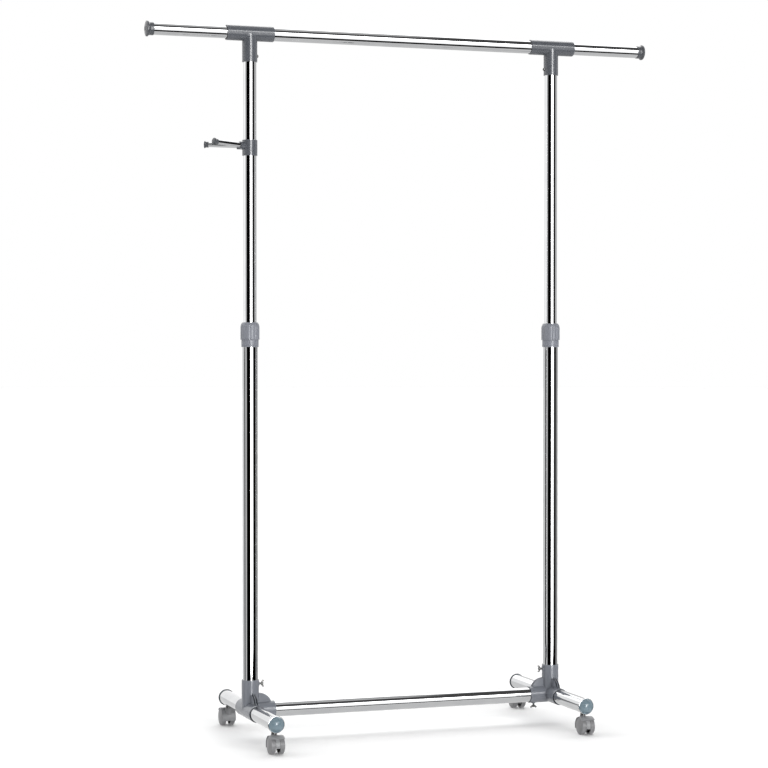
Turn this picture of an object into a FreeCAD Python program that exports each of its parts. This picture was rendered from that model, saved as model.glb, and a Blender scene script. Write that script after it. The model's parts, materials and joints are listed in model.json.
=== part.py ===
import FreeCAD, Part
import math
import os

# Rolling clothes rack. Two castor feet, joined by a bottom rail, carry telescopic posts. The upper
# posts carry the hanging rail, which has a pull-out extension at each end, and the left one also
# carries a swivelling two-pronged hook.
#
# Millimetres. X runs along the rail, Y from front to back, Z up. The origin is on the floor, midway
# between the posts. A side is -1 for left and +1 for right; an end is -1 for front and +1 for back.

Vector = FreeCAD.Vector
UP = Vector(0, 0, 1)
DOWN = Vector(0, 0, -1)
BACK = Vector(0, 1, 0)
RIGHTWARDS = Vector(1, 0, 0)
SIDES = {"left": -1, "right": 1}
ENDS = {"front": -1, "back": 1}

# Overall sizes
POST_SPACING = 688.0
FOOT_TUBE_LENGTH = 374.0
LOWER_POST_LENGTH = 759.0
UPPER_POST_LENGTH = 850.0
POST_OVERLAP = 221.0
EXTENSION_LENGTH = 329.0
EXTENSION_DRAWN_OUT = 167.0

# Tube stock. Each size slides inside the next, so the smaller diameters follow from the base tube.
BASE_TUBE_DIA = 32.0
BASE_TUBE_WALL = 1.2
UPPER_TUBE_WALL = 1.1
EXTENSION_WALL = 1.0
POST_SLACK = 0.8
EXTENSION_SLACK = 0.4
UPPER_TUBE_DIA = BASE_TUBE_DIA - 2 * (BASE_TUBE_WALL + POST_SLACK)
EXTENSION_DIA = UPPER_TUBE_DIA - 2 * (UPPER_TUBE_WALL + EXTENSION_SLACK)

# Clearances, and how far a cutting solid runs past what it cuts
FIT = 0.05
LOOSE = 0.3
NUT_CLEARANCE = 0.5
CUT_MARGIN = 1.0

# Castors
WHEEL_DIA = 36.0
WHEEL_INNER_FACE = 5.0
WHEEL_TREAD_WIDTH = 8.5
WHEEL_BULGE = 3.2
WHEEL_EDGE = 0.6
WHEEL_SHOULDER_INSET = 2.2
WHEEL_SHOULDER_RISE = 1.5
WHEEL_SHOULDER_BOW = 0.43
WHEEL_RIM = 2.6
WHEEL_FACE_THICKNESS = 4.6
WHEEL_RECESS_CORNER = 1.0
WHEEL_HUB_DIA = 11.0
AXLE_DIA = 5.0
AXLE_LENGTH = 27.0
CASTOR_TRAIL = 13.0
CASTOR_INSET = 14.0
HOOD_GAP = 0.9
HOOD_WALL = 1.4
HOOD_EDGE_WALL = 0.5
HOOD_WIDTH = 31.0
HOOD_CORNER = 4.0
HOOD_CORNER_BOW = 0.36
HOOD_WEB = 9.0
HOOD_HUB_DIA = 12.0
HOOD_BOSS_DIA = 13.0
HOOD_STEM_SIDE = 110.0
HOOD_OPEN_SIDE = 45.0
HOOD_SKIRT_SIDE = 105.0
HOOD_SKIRT_INSET = 0.4
STEM_PIN_DIA = 6.0
STEM_PIN_DEPTH = 16.0
STEM_COLLAR_DIA = 11.0
STEM_COLLAR_HEIGHT = 5.0
STEM_SHANK_DIA = 8.0
STEM_HEADROOM = 6.0
STEM_SEAT_GAP = 0.4

# Foot caps
FOOT_PLUG_LENGTH = 32.0
FOOT_PLUG_LEAD_IN = 1.0
FOOT_CAP_RIM = 1.75
FOOT_CAP_RIM_WIDTH = 3.0
FOOT_DOME_INSET = 1.0
FOOT_DOME_HEIGHT = 9.0

# Base fittings
UPRIGHT_WALL = 2.2
UPRIGHT_RISE = 65.0
UPRIGHT_FLOOR = 3.0
SLEEVE_WALL = 1.95
FOOT_SLEEVE_LENGTH = 108.0
RAIL_SOCKET_DEPTH = 32.0
RAIL_SOCKET_FLOOR = 4.0
FITTING_EDGE = 0.8
GUSSET_RADIUS = 28.0
GUSSET_LIFT = 8.0
GUSSET_THICKNESS = 9.0

# Thumb screws
SCREW_DIA = 4.0
SCREW_BOSS_DIA = 9.0
SCREW_BOSS_HEIGHT = 1.2
SCREW_NECK = 4.0
SCREW_HUB_DIA = 7.0
SCREW_HUB_LENGTH = 4.5
WING_SPAN = 15.0
WING_LENGTH = 6.6
WING_LOBE_RADIUS = 2.4
WING_THICKNESS = 2.6
POST_SCREW_INSET = 9.0
RAIL_SCREW_INSET = 12.0

# Height collars
COLLAR_RING_DEPTH = 13.0
COLLAR_LEDGE = 2.0
COLLAR_WALL = 2.1
COLLAR_EDGE = 0.6
SPIGOT_WALL = 1.6
SPIGOT_HEIGHT = 23.0
COLLET_WALL = 1.15
COLLET_HEIGHT = 26.0
COLLET_TIP_LENGTH = 1.0
COLLET_TIP_TAPER = 0.6
COLLET_SLOT = 1.2
COLLET_SLOT_DEPTH = 18.0
COLLET_SLOTS = 4
NUT_HEIGHT = 36.5
NUT_SHOULDER = 27.0
NUT_TAPER_BOW = 0.7
NUT_WALL = 3.1
NUT_TOP_WALL = 1.8
NUT_THROAT = 5.0
FLUTES = 12
FLUTE_DIA = 14.0
FLUTE_DEPTH = 0.9

# Guide bushes at the foot of the upper posts
GUIDE_PLUG_LENGTH = 15.0
GUIDE_RING_LENGTH = 12.0
GUIDE_BORE = 18.0
GUIDE_CLEARANCE = 0.1
GUIDE_EDGE = 0.8

# Tee fittings
TEE_WALL = 1.95
TEE_REACH = 51.0
TEE_DROP = 60.0
TEE_EDGE = 0.8
TEE_POST_GAP = 1.0
TEE_RAIL_INSET = 11.0
TEE_SCREW_INSET = 13.0
TEE_SCREW_DIA = 3.5
TEE_SCREW_LENGTH = 9.0
TEE_SCREW_POINT_LENGTH = 1.5
TEE_SCREW_POINT_TAPER = 0.7
TEE_SCREW_HEAD_DIA = 7.4
TEE_SCREW_HEAD_EDGE = 1.0
TEE_SCREW_HEAD_CROWN = 2.2
TEE_SCREW_SLOT_WIDTH = 1.0
TEE_SCREW_SLOT_LENGTH = 4.6
TEE_SCREW_SLOT_DEPTH = 1.6

# Rail bushes and rail caps
RAIL_BUSH_LENGTH = 6.5
RAIL_BUSH_EDGE = 0.5
RAIL_BUSH_LEAD_IN = 0.3
CAP_EDGE = 0.3
CAP_WALL = 0.95
CAP_COLLAR_LENGTH = 5.4
CAP_FLARE_LENGTH = 6.6
CAP_FLARE = 3.0
CAP_FLARE_BOW = 1.17
CAP_RIM_WIDTH = 3.2
CAP_DOME_HEIGHT = 2.6
CAP_FACE = 4.0
CAP_END_GAP = 0.2
CAP_DIMPLE_DIA = 9.0
CAP_DIMPLE_DEPTH = 0.8

# Hook
HOOK_DROP = 223.0
HOOK_SLEEVE_HEIGHT = 33.0
HOOK_SLEEVE_WALL = 1.95
HOOK_SOCKET_DROP = 13.0
HOOK_SOCKET_WALL = 2.45
HOOK_SOCKET_LENGTH = 11.0
HOOK_SOCKET_FLOOR = 2.2
HOOK_SPREAD = 23.4
HOOK_RISE = 2.5
PRONG_DIA = 10.0
PRONG_REACH = 93.0
PRONG_CAP_WALL = 1.0
PRONG_CAP_COLLAR_LENGTH = 3.4
PRONG_CAP_FLARE_LENGTH = 4.1
PRONG_CAP_FLARE = 1.7
PRONG_CAP_FLARE_BOW = 0.68
PRONG_CAP_RIM_WIDTH = 1.5
PRONG_CAP_DOME_HEIGHT = 1.2
PRONG_CAP_FACE = 3.0

# Places that follow from the sizes
POST_X = POST_SPACING / 2
WHEEL_AXIS_HEIGHT = WHEEL_DIA / 2
HOOD_INNER_RADIUS = WHEEL_DIA / 2 + HOOD_GAP
HOOD_OUTER_RADIUS = HOOD_INNER_RADIUS + HOOD_WALL
HOOD_TOP = WHEEL_AXIS_HEIGHT + HOOD_OUTER_RADIUS
STEM_COLLAR_BASE = HOOD_TOP + LOOSE
STEM_COLLAR_TOP = STEM_COLLAR_BASE + STEM_COLLAR_HEIGHT
STEM_SHANK_LENGTH = BASE_TUBE_DIA - STEM_HEADROOM
FOOT_AXIS_HEIGHT = STEM_COLLAR_TOP + STEM_SEAT_GAP + BASE_TUBE_DIA / 2
STEM_Y = FOOT_TUBE_LENGTH / 2 - CASTOR_INSET
UPRIGHT_OUTER = BASE_TUBE_DIA + 2 * (FIT + UPRIGHT_WALL)
SLEEVE_OUTER = BASE_TUBE_DIA + 2 * (FIT + SLEEVE_WALL)
BASE_BORE = BASE_TUBE_DIA + 2 * FIT
RAIL_SOCKET_REACH = BASE_TUBE_DIA / 2 + RAIL_SOCKET_FLOOR + RAIL_SOCKET_DEPTH
POST_FLOOR = FOOT_AXIS_HEIGHT + BASE_BORE / 2 + UPRIGHT_FLOOR
LOWER_POST_TOP = POST_FLOOR + LOWER_POST_LENGTH
COLLAR_BASE_TOP = LOWER_POST_TOP + COLLAR_LEDGE
UPPER_POST_BASE = LOWER_POST_TOP - POST_OVERLAP
UPPER_POST_TOP = UPPER_POST_BASE + UPPER_POST_LENGTH
RAIL_AXIS_HEIGHT = UPPER_POST_TOP + TEE_POST_GAP + UPPER_TUBE_DIA / 2
UPPER_BORE = UPPER_TUBE_DIA + 2 * FIT
TEE_OUTER = UPPER_BORE + 2 * TEE_WALL
RAIL_END_X = POST_X + TEE_REACH - TEE_RAIL_INSET
EXTENSION_END_X = POST_X + TEE_REACH + EXTENSION_DRAWN_OUT
CAP_LENGTH = CAP_COLLAR_LENGTH + CAP_FLARE_LENGTH + CAP_RIM_WIDTH
CAP_INNER_X = EXTENSION_END_X + CAP_END_GAP + CAP_FACE - CAP_LENGTH
HOOK_SLEEVE_OUTER = UPPER_BORE + 2 * HOOK_SLEEVE_WALL
PRONG_ROOT = UPPER_TUBE_DIA / 2 + HOOK_SOCKET_FLOOR
PRONG_CAP_LENGTH = PRONG_CAP_COLLAR_LENGTH + PRONG_CAP_FLARE_LENGTH + PRONG_CAP_RIM_WIDTH


# Making solids

def cylinder(diameter, length, base, direction):
    return Part.makeCylinder(diameter / 2, length, base, direction)


def rounded_cylinder(diameter, length, base, direction, edge):
    solid = cylinder(diameter, length, base, direction)
    rims = [rim for rim in solid.Edges if isinstance(rim.Curve, Part.Circle)]
    return solid.makeFillet(edge, rims)


def tube(diameter, wall, length, base, direction):
    outside = cylinder(diameter, length, base, direction)
    return outside.cut(cylinder(diameter - 2 * wall, length, base, direction))


def outline(steps):
    """Closed face in the XZ plane. A step is a corner, or a pair that gives an arc's middle and end."""
    start = Vector(steps[0][0], 0, steps[0][1])
    here = start
    edges = []
    for step in steps[1:]:
        if isinstance(step[0], tuple):
            middle, end = [Vector(x, 0, z) for x, z in step]
            edges.append(Part.Arc(here, middle, end).toShape())
        else:
            end = Vector(step[0], 0, step[1])
            edges.append(Part.LineSegment(here, end).toShape())
        here = end
    edges.append(Part.LineSegment(here, start).toShape())
    return Part.Face(Part.Wire(edges))


def turned(steps, base, direction):
    """Solid turned from an outline of (radius, height) steps, stood on base along direction."""
    solid = outline(steps).revolve(Vector(0, 0, 0), UP, 360)
    solid.Placement = FreeCAD.Placement(base, FreeCAD.Rotation(UP, direction))
    return solid


def fused(first, *others):
    return first.fuse(list(others)).removeSplitter()


def dome(radius, start, rise):
    """Arc step of a spherical crown, from its rim at (radius, start) up to the axis."""
    half_angle = 2 * math.atan(rise / radius)
    sphere_radius = radius / math.sin(half_angle)
    centre = start + rise - sphere_radius
    middle = (sphere_radius * math.sin(half_angle / 2), centre + sphere_radius * math.cos(half_angle / 2))
    return (middle, (0, start + rise))


def bowed(start, end, bow):
    """Arc step to end whose middle stands out of the chord from start by bow, on its right-hand side."""
    run, rise = end[0] - start[0], end[1] - start[1]
    chord = math.hypot(run, rise)
    middle = ((start[0] + end[0]) / 2 + bow * rise / chord, (start[1] + end[1]) / 2 - bow * run / chord)
    return (middle, end)


def rounded_rim(radius, height, rounding):
    """Corner and quarter-arc step round the outer rim of a turned piece, at its upper face."""
    short = rounding * (1 - math.sqrt(0.5))
    return [(radius, height - rounding), ((radius - short, height - short), (radius - rounding, height))]


# Feet and bottom rail

def foot_axis_point(side, y):
    return Vector(side * POST_X, y, FOOT_AXIS_HEIGHT)


def foot_tube(side):
    start = foot_axis_point(side, -FOOT_TUBE_LENGTH / 2)
    solid = tube(BASE_TUBE_DIA, BASE_TUBE_WALL, FOOT_TUBE_LENGTH, start, BACK)
    hole_dia = STEM_SHANK_DIA + 2 * LOOSE
    for end in ENDS.values():
        solid = solid.cut(cylinder(hole_dia, BASE_TUBE_DIA / 2, foot_axis_point(side, end * STEM_Y), DOWN))
    return solid


def foot_cap(side, end):
    outward = Vector(0, end, 0)
    mouth = foot_axis_point(side, end * FOOT_TUBE_LENGTH / 2)
    plug_radius = BASE_TUBE_DIA / 2 - BASE_TUBE_WALL - FIT
    rim_radius = BASE_TUBE_DIA / 2 + FOOT_CAP_RIM
    dome_radius = BASE_TUBE_DIA / 2 - FOOT_DOME_INSET
    rim_round = FOOT_CAP_RIM_WIDTH / 2
    solid = turned([
        (0, -FOOT_PLUG_LENGTH),
        (plug_radius - FOOT_PLUG_LEAD_IN, -FOOT_PLUG_LENGTH),
        (plug_radius, FOOT_PLUG_LEAD_IN - FOOT_PLUG_LENGTH),
        (plug_radius, 0),
        (rim_radius - rim_round, 0),
        ((rim_radius, rim_round), (rim_radius - rim_round, FOOT_CAP_RIM_WIDTH)),
        (dome_radius, FOOT_CAP_RIM_WIDTH),
        dome(dome_radius, FOOT_CAP_RIM_WIDTH, FOOT_DOME_HEIGHT),
    ], mouth, outward)
    socket_mouth = Vector(side * POST_X, end * STEM_Y, STEM_COLLAR_TOP)
    return solid.cut(cylinder(STEM_SHANK_DIA, STEM_SHANK_LENGTH + FIT, socket_mouth, UP))


def bottom_rail():
    end_x = POST_X - RAIL_SOCKET_REACH + RAIL_SOCKET_DEPTH - FIT
    start = Vector(-end_x, 0, FOOT_AXIS_HEIGHT)
    return tube(BASE_TUBE_DIA, BASE_TUBE_WALL, 2 * end_x, start, RIGHTWARDS)


def gusset(heading):
    """Quarter disc that braces the upright socket, turned to face a heading in degrees from +X."""
    half = GUSSET_THICKNESS / 2
    reach = UPRIGHT_OUTER / 2 + GUSSET_RADIUS
    disc = cylinder(2 * GUSSET_RADIUS, GUSSET_THICKNESS, Vector(UPRIGHT_OUTER / 2, -half, GUSSET_LIFT), BACK)
    quarter = disc.common(Part.makeBox(reach, GUSSET_THICKNESS, reach, Vector(0, -half, 0)))
    quarter.rotate(Vector(0, 0, 0), UP, heading)
    return quarter


def base_fitting(side):
    """Three-way moulding that holds the foot tube, the bottom rail and the lower post."""
    inward = Vector(-side, 0, 0)
    centre = foot_axis_point(side, 0)
    inward_heading = 90 + 90 * side
    upright = rounded_cylinder(UPRIGHT_OUTER, UPRIGHT_RISE, centre, UP, FITTING_EDGE)
    sleeve_start = foot_axis_point(side, -FOOT_SLEEVE_LENGTH / 2)
    sleeve = rounded_cylinder(SLEEVE_OUTER, FOOT_SLEEVE_LENGTH, sleeve_start, BACK, FITTING_EDGE)
    socket = rounded_cylinder(SLEEVE_OUTER, RAIL_SOCKET_REACH, centre, inward, FITTING_EDGE)
    braces = [gusset(heading) for heading in (inward_heading, 90, -90)]
    for brace in braces:
        brace.translate(centre)
    post_boss = cylinder(SCREW_BOSS_DIA, UPRIGHT_OUTER / 2 + SCREW_BOSS_HEIGHT, post_screw_axis(side), inward)
    rail_boss = cylinder(SCREW_BOSS_DIA, SLEEVE_OUTER / 2 + SCREW_BOSS_HEIGHT, rail_screw_axis(side), DOWN)
    solid = fused(upright, sleeve, socket, post_boss, rail_boss, *braces)
    foot_bore = cylinder(BASE_BORE, FOOT_SLEEVE_LENGTH, sleeve_start, BACK)
    post_bore = cylinder(BASE_BORE, UPRIGHT_RISE, Vector(centre.x, centre.y, POST_FLOOR), UP)
    rail_bore = cylinder(BASE_BORE, RAIL_SOCKET_DEPTH, centre + inward * RAIL_SOCKET_REACH, -inward)
    screw_bore = SCREW_DIA + 2 * FIT
    post_hole = cylinder(screw_bore, UPRIGHT_OUTER, post_screw_axis(side), inward)
    rail_hole = cylinder(screw_bore, SLEEVE_OUTER, rail_screw_axis(side), DOWN)
    return solid.cut([foot_bore, post_bore, rail_bore, post_hole, rail_hole])


# Thumb screws

def post_screw_axis(side):
    """Where the post screw's axis meets the post's axis."""
    return Vector(side * POST_X, 0, FOOT_AXIS_HEIGHT + UPRIGHT_RISE - POST_SCREW_INSET)


def rail_screw_axis(side):
    """Where the rail screw's axis meets the bottom rail's axis."""
    return Vector(side * (POST_X - RAIL_SOCKET_REACH + RAIL_SCREW_INSET), 0, FOOT_AXIS_HEIGHT)


def wing_screw(axis_point, direction, boss_face):
    """Thumb screw. boss_face is how far the boss's face is from the tube's axis."""
    tip = BASE_TUBE_DIA / 2 + LOOSE
    head = boss_face + SCREW_NECK
    half_span = WING_SPAN / 2
    hub_radius = SCREW_HUB_DIA / 2
    top = head + WING_LENGTH
    lobe = WING_LOBE_RADIUS
    shank = cylinder(SCREW_DIA, head - tip, Vector(0, 0, tip), UP)
    hub = cylinder(SCREW_HUB_DIA, SCREW_HUB_LENGTH, Vector(0, 0, head), UP)
    wings = outline([
        (-hub_radius, head),
        (hub_radius, head),
        (half_span - lobe, top - 2 * lobe),
        ((half_span, top - lobe), (half_span - lobe, top)),
        (hub_radius, top - lobe),
        ((0, head + SCREW_HUB_LENGTH), (-hub_radius, top - lobe)),
        (lobe - half_span, top),
        ((-half_span, top - lobe), (lobe - half_span, top - 2 * lobe)),
    ])
    wings = wings.extrude(Vector(0, WING_THICKNESS, 0))
    wings.translate(Vector(0, -WING_THICKNESS / 2, 0))
    solid = fused(shank, hub, wings)
    solid.Placement = FreeCAD.Placement(axis_point, FreeCAD.Rotation(UP, direction))
    return solid


def post_screw(side):
    boss_face = UPRIGHT_OUTER / 2 + SCREW_BOSS_HEIGHT
    return wing_screw(post_screw_axis(side), Vector(-side, 0, 0), boss_face)


def rail_screw(side):
    boss_face = SLEEVE_OUTER / 2 + SCREW_BOSS_HEIGHT
    return wing_screw(rail_screw_axis(side), DOWN, boss_face)


# Castors

def wheel_centre(side, end, x=0.0):
    return Vector(side * POST_X + x, end * (STEM_Y + CASTOR_TRAIL), WHEEL_AXIS_HEIGHT)


def wheel(side, end, hand):
    """Moulded wheel, hollow on its inner side. hand is -1 for the left wheel of the pair."""
    radius = WHEEL_DIA / 2
    rim_radius = radius - WHEEL_RIM
    recess = WHEEL_TREAD_WIDTH + WHEEL_BULGE - WHEEL_FACE_THICKNESS
    hub_radius = WHEEL_HUB_DIA / 2
    bore_radius = AXLE_DIA / 2 + FIT
    bore_depth = AXLE_LENGTH / 2 - WHEEL_INNER_FACE + LOOSE
    tread_end = (radius, WHEEL_TREAD_WIDTH)
    face_rim = (radius - WHEEL_SHOULDER_INSET, WHEEL_TREAD_WIDTH + WHEEL_SHOULDER_RISE)
    return turned([
        (bore_radius, 0),
        (hub_radius, 0),
        (hub_radius, recess),
        (rim_radius - WHEEL_RECESS_CORNER, recess),
        (rim_radius, recess - WHEEL_RECESS_CORNER),
        (rim_radius, 0),
        (radius - WHEEL_EDGE, 0),
        (radius, WHEEL_EDGE),
        tread_end,
        bowed(tread_end, face_rim, WHEEL_SHOULDER_BOW),
        dome(*face_rim, WHEEL_BULGE - WHEEL_SHOULDER_RISE),
        (0, bore_depth),
        (bore_radius, bore_depth),
    ], wheel_centre(side, end, hand * WHEEL_INNER_FACE), Vector(hand, 0, 0))


def castor_axle(side, end):
    return cylinder(AXLE_DIA, AXLE_LENGTH, wheel_centre(side, end, -AXLE_LENGTH / 2), RIGHTWARDS)


def hood_section(steps, side, end, open_side=HOOD_OPEN_SIDE):
    """Turns a section of (x, radius) steps about the axle, from the stem side over to open_side degrees."""
    centre = wheel_centre(side, end)
    face = outline(steps)
    face.translate(centre)
    axle = Vector(-end, 0, 0)
    face.rotate(centre, axle, -HOOD_STEM_SIDE)
    return face.revolve(centre, axle, HOOD_STEM_SIDE + open_side)


def castor_hood(side, end):
    """Mudguard over both wheels, with the web and skirt between them and the boss that turns on the stem."""
    half = HOOD_WIDTH / 2
    edge_radius = HOOD_INNER_RADIUS + HOOD_EDGE_WALL
    right_corner = (half - HOOD_CORNER, HOOD_OUTER_RADIUS)
    left_corner = (HOOD_CORNER - half, HOOD_OUTER_RADIUS)
    shell = hood_section([
        (-half, HOOD_INNER_RADIUS),
        (half, HOOD_INNER_RADIUS),
        (half, edge_radius),
        bowed((half, edge_radius), right_corner, HOOD_CORNER_BOW),
        left_corner,
        bowed(left_corner, (-half, edge_radius), HOOD_CORNER_BOW),
    ], side, end)
    half_web = HOOD_WEB / 2
    web_radius = HOOD_INNER_RADIUS + HOOD_WALL / 2
    web_steps = [(-half_web, 0), (half_web, 0), (half_web, web_radius), (-half_web, web_radius)]
    web = hood_section(web_steps, side, end)
    skirt_radius = WHEEL_DIA / 2 - HOOD_SKIRT_INSET
    skirt_steps = [(-half_web, 0), (half_web, 0), (half_web, skirt_radius), (-half_web, skirt_radius)]
    skirt = hood_section(skirt_steps, side, end, HOOD_SKIRT_SIDE)
    hub = cylinder(HOOD_HUB_DIA, HOOD_WEB, wheel_centre(side, end, -half_web), RIGHTWARDS)
    stem_foot = Vector(side * POST_X, end * STEM_Y, 0)
    boss = cylinder(HOOD_BOSS_DIA, HOOD_TOP - WHEEL_AXIS_HEIGHT, stem_foot + UP * WHEEL_AXIS_HEIGHT, UP)
    wheel_space = cylinder(2 * HOOD_INNER_RADIUS, HOOD_WIDTH, wheel_centre(side, end, -half), RIGHTWARDS)
    solid = fused(shell, boss.cut(wheel_space), web, skirt, hub)
    stem_bore = cylinder(STEM_PIN_DIA + 2 * FIT, STEM_PIN_DEPTH + LOOSE, stem_foot + UP * HOOD_TOP, DOWN)
    axle_bore = cylinder(AXLE_DIA, HOOD_WEB, wheel_centre(side, end, -half_web), RIGHTWARDS)
    return solid.cut([stem_bore, axle_bore])


def castor_stem(side, end):
    foot = Vector(side * POST_X, end * STEM_Y, 0)
    pin = cylinder(STEM_PIN_DIA, STEM_PIN_DEPTH + LOOSE, foot + UP * (HOOD_TOP - STEM_PIN_DEPTH), UP)
    collar = cylinder(STEM_COLLAR_DIA, STEM_COLLAR_HEIGHT, foot + UP * STEM_COLLAR_BASE, UP)
    shank = cylinder(STEM_SHANK_DIA - 2 * FIT, STEM_SHANK_LENGTH, foot + UP * STEM_COLLAR_TOP, UP)
    return fused(pin, collar, shank)


# Lower posts and height collars

def lower_post(side):
    return tube(BASE_TUBE_DIA, BASE_TUBE_WALL, LOWER_POST_LENGTH, Vector(side * POST_X, 0, POST_FLOOR), UP)


def spigot_radius():
    """Outer radius of the threaded spigot: collet, slack and wall round the upper post."""
    return UPPER_TUBE_DIA / 2 + 2 * FIT + COLLET_WALL + SPIGOT_WALL


def collar_base(side):
    """Ring that caps the lower post, with the spigot that the nut screws on to."""
    post_radius = BASE_TUBE_DIA / 2 + FIT
    ring_radius = post_radius + COLLAR_WALL
    spigot_bore = spigot_radius() - SPIGOT_WALL
    post_top = COLLAR_RING_DEPTH + FIT
    ring_top = COLLAR_RING_DEPTH + COLLAR_LEDGE
    return turned([
        (post_radius, 0),
        (ring_radius - COLLAR_EDGE, 0),
        (ring_radius, COLLAR_EDGE),
        (ring_radius, ring_top - COLLAR_EDGE),
        (ring_radius - COLLAR_EDGE, ring_top),
        (spigot_radius(), ring_top),
        (spigot_radius(), ring_top + SPIGOT_HEIGHT),
        (spigot_bore, ring_top + SPIGOT_HEIGHT),
        (spigot_bore, ring_top),
        (UPPER_TUBE_DIA / 2 + FIT, ring_top),
        (UPPER_TUBE_DIA / 2 + FIT, post_top),
        (post_radius, post_top),
    ], Vector(side * POST_X, 0, LOWER_POST_TOP - COLLAR_RING_DEPTH), UP)


def collar_collet(side):
    """Split sleeve that the nut squeezes on to the upper post."""
    bore_radius = UPPER_TUBE_DIA / 2 + FIT
    outer_radius = bore_radius + COLLET_WALL
    base = Vector(side * POST_X, 0, COLLAR_BASE_TOP)
    sleeve = turned([
        (bore_radius, 0),
        (outer_radius, 0),
        (outer_radius, COLLET_HEIGHT - COLLET_TIP_LENGTH),
        (outer_radius - COLLET_TIP_TAPER, COLLET_HEIGHT),
        (bore_radius, COLLET_HEIGHT),
    ], base, UP)
    slot_width = COLLET_WALL + 2 * CUT_MARGIN
    slot_height = COLLET_SLOT_DEPTH + CUT_MARGIN
    for index in range(COLLET_SLOTS):
        corner = Vector(bore_radius - CUT_MARGIN, -COLLET_SLOT / 2, COLLET_HEIGHT - COLLET_SLOT_DEPTH)
        slot = Part.makeBox(slot_width, COLLET_SLOT, slot_height, corner)
        slot.rotate(Vector(0, 0, 0), UP, index * 360 / COLLET_SLOTS)
        slot.translate(base)
        sleeve = sleeve.cut(slot)
    return sleeve


def collar_nut(side):
    """Fluted nut that tapers in towards the upper post."""
    bore_radius = spigot_radius() + LOOSE / 2
    outer_radius = bore_radius + NUT_WALL
    throat_radius = UPPER_TUBE_DIA / 2 + NUT_CLEARANCE
    top_radius = throat_radius + NUT_TOP_WALL
    throat_start = NUT_HEIGHT - NUT_THROAT
    cone_start = SPIGOT_HEIGHT + LOOSE
    shoulder = (outer_radius, NUT_SHOULDER)
    base = Vector(side * POST_X, 0, COLLAR_BASE_TOP + LOOSE)
    nut = turned([
        (bore_radius, 0),
        (outer_radius - COLLAR_EDGE, 0),
        (outer_radius, COLLAR_EDGE),
        shoulder,
        bowed(shoulder, (top_radius, NUT_HEIGHT), NUT_TAPER_BOW),
        (throat_radius, NUT_HEIGHT),
        (throat_radius, throat_start),
        (bore_radius, cone_start),
    ], base, UP)
    for index in range(FLUTES):
        flute_axis = Vector(outer_radius + FLUTE_DIA / 2 - FLUTE_DEPTH, 0, 0)
        flute = cylinder(FLUTE_DIA, NUT_HEIGHT, flute_axis, UP)
        flute.rotate(Vector(0, 0, 0), UP, (index + 0.5) * 360 / FLUTES)
        flute.translate(base)
        nut = nut.cut(flute)
    return nut


# Upper posts, tees and hanging rail

def upper_post(side):
    base = Vector(side * POST_X, 0, UPPER_POST_BASE)
    solid = tube(UPPER_TUBE_DIA, UPPER_TUBE_WALL, UPPER_POST_LENGTH, base, UP)
    return solid.cut(tee_screw_hole(side))


def post_guide(side):
    """Plastic bush in the upper post's lower end that runs inside the lower post."""
    plug_radius = UPPER_TUBE_DIA / 2 - UPPER_TUBE_WALL - FIT
    ring_radius = BASE_TUBE_DIA / 2 - BASE_TUBE_WALL - GUIDE_CLEARANCE
    return turned([
        (GUIDE_BORE / 2, -GUIDE_RING_LENGTH),
        (ring_radius - GUIDE_EDGE, -GUIDE_RING_LENGTH),
        (ring_radius, GUIDE_EDGE - GUIDE_RING_LENGTH),
        (ring_radius, -FIT),
        (plug_radius, -FIT),
        (plug_radius, GUIDE_PLUG_LENGTH - GUIDE_EDGE),
        (plug_radius - GUIDE_EDGE, GUIDE_PLUG_LENGTH),
        (GUIDE_BORE / 2, GUIDE_PLUG_LENGTH),
    ], Vector(side * POST_X, 0, UPPER_POST_BASE), UP)


def tee_screw_point(side):
    """Where the tee screw's axis meets the post's axis."""
    return Vector(side * POST_X, 0, RAIL_AXIS_HEIGHT - TEE_DROP + TEE_SCREW_INSET)


def tee_screw_hole(side):
    return cylinder(TEE_SCREW_DIA + 2 * FIT, TEE_OUTER, tee_screw_point(side), Vector(-side, 0, 0))


def rail_tee(side):
    inward = Vector(-side, 0, 0)
    centre = Vector(side * POST_X, 0, RAIL_AXIS_HEIGHT)
    outer_mouth = centre - inward * TEE_REACH
    across = rounded_cylinder(TEE_OUTER, 2 * TEE_REACH, outer_mouth, inward, TEE_EDGE)
    down = rounded_cylinder(TEE_OUTER, TEE_DROP, centre, DOWN, TEE_EDGE)
    solid = fused(across, down)
    rail_bore = cylinder(UPPER_BORE, 2 * TEE_REACH, outer_mouth, inward)
    post_bore = cylinder(UPPER_BORE, TEE_DROP, centre, DOWN)
    return solid.cut([rail_bore, post_bore, tee_screw_hole(side)])


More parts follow.
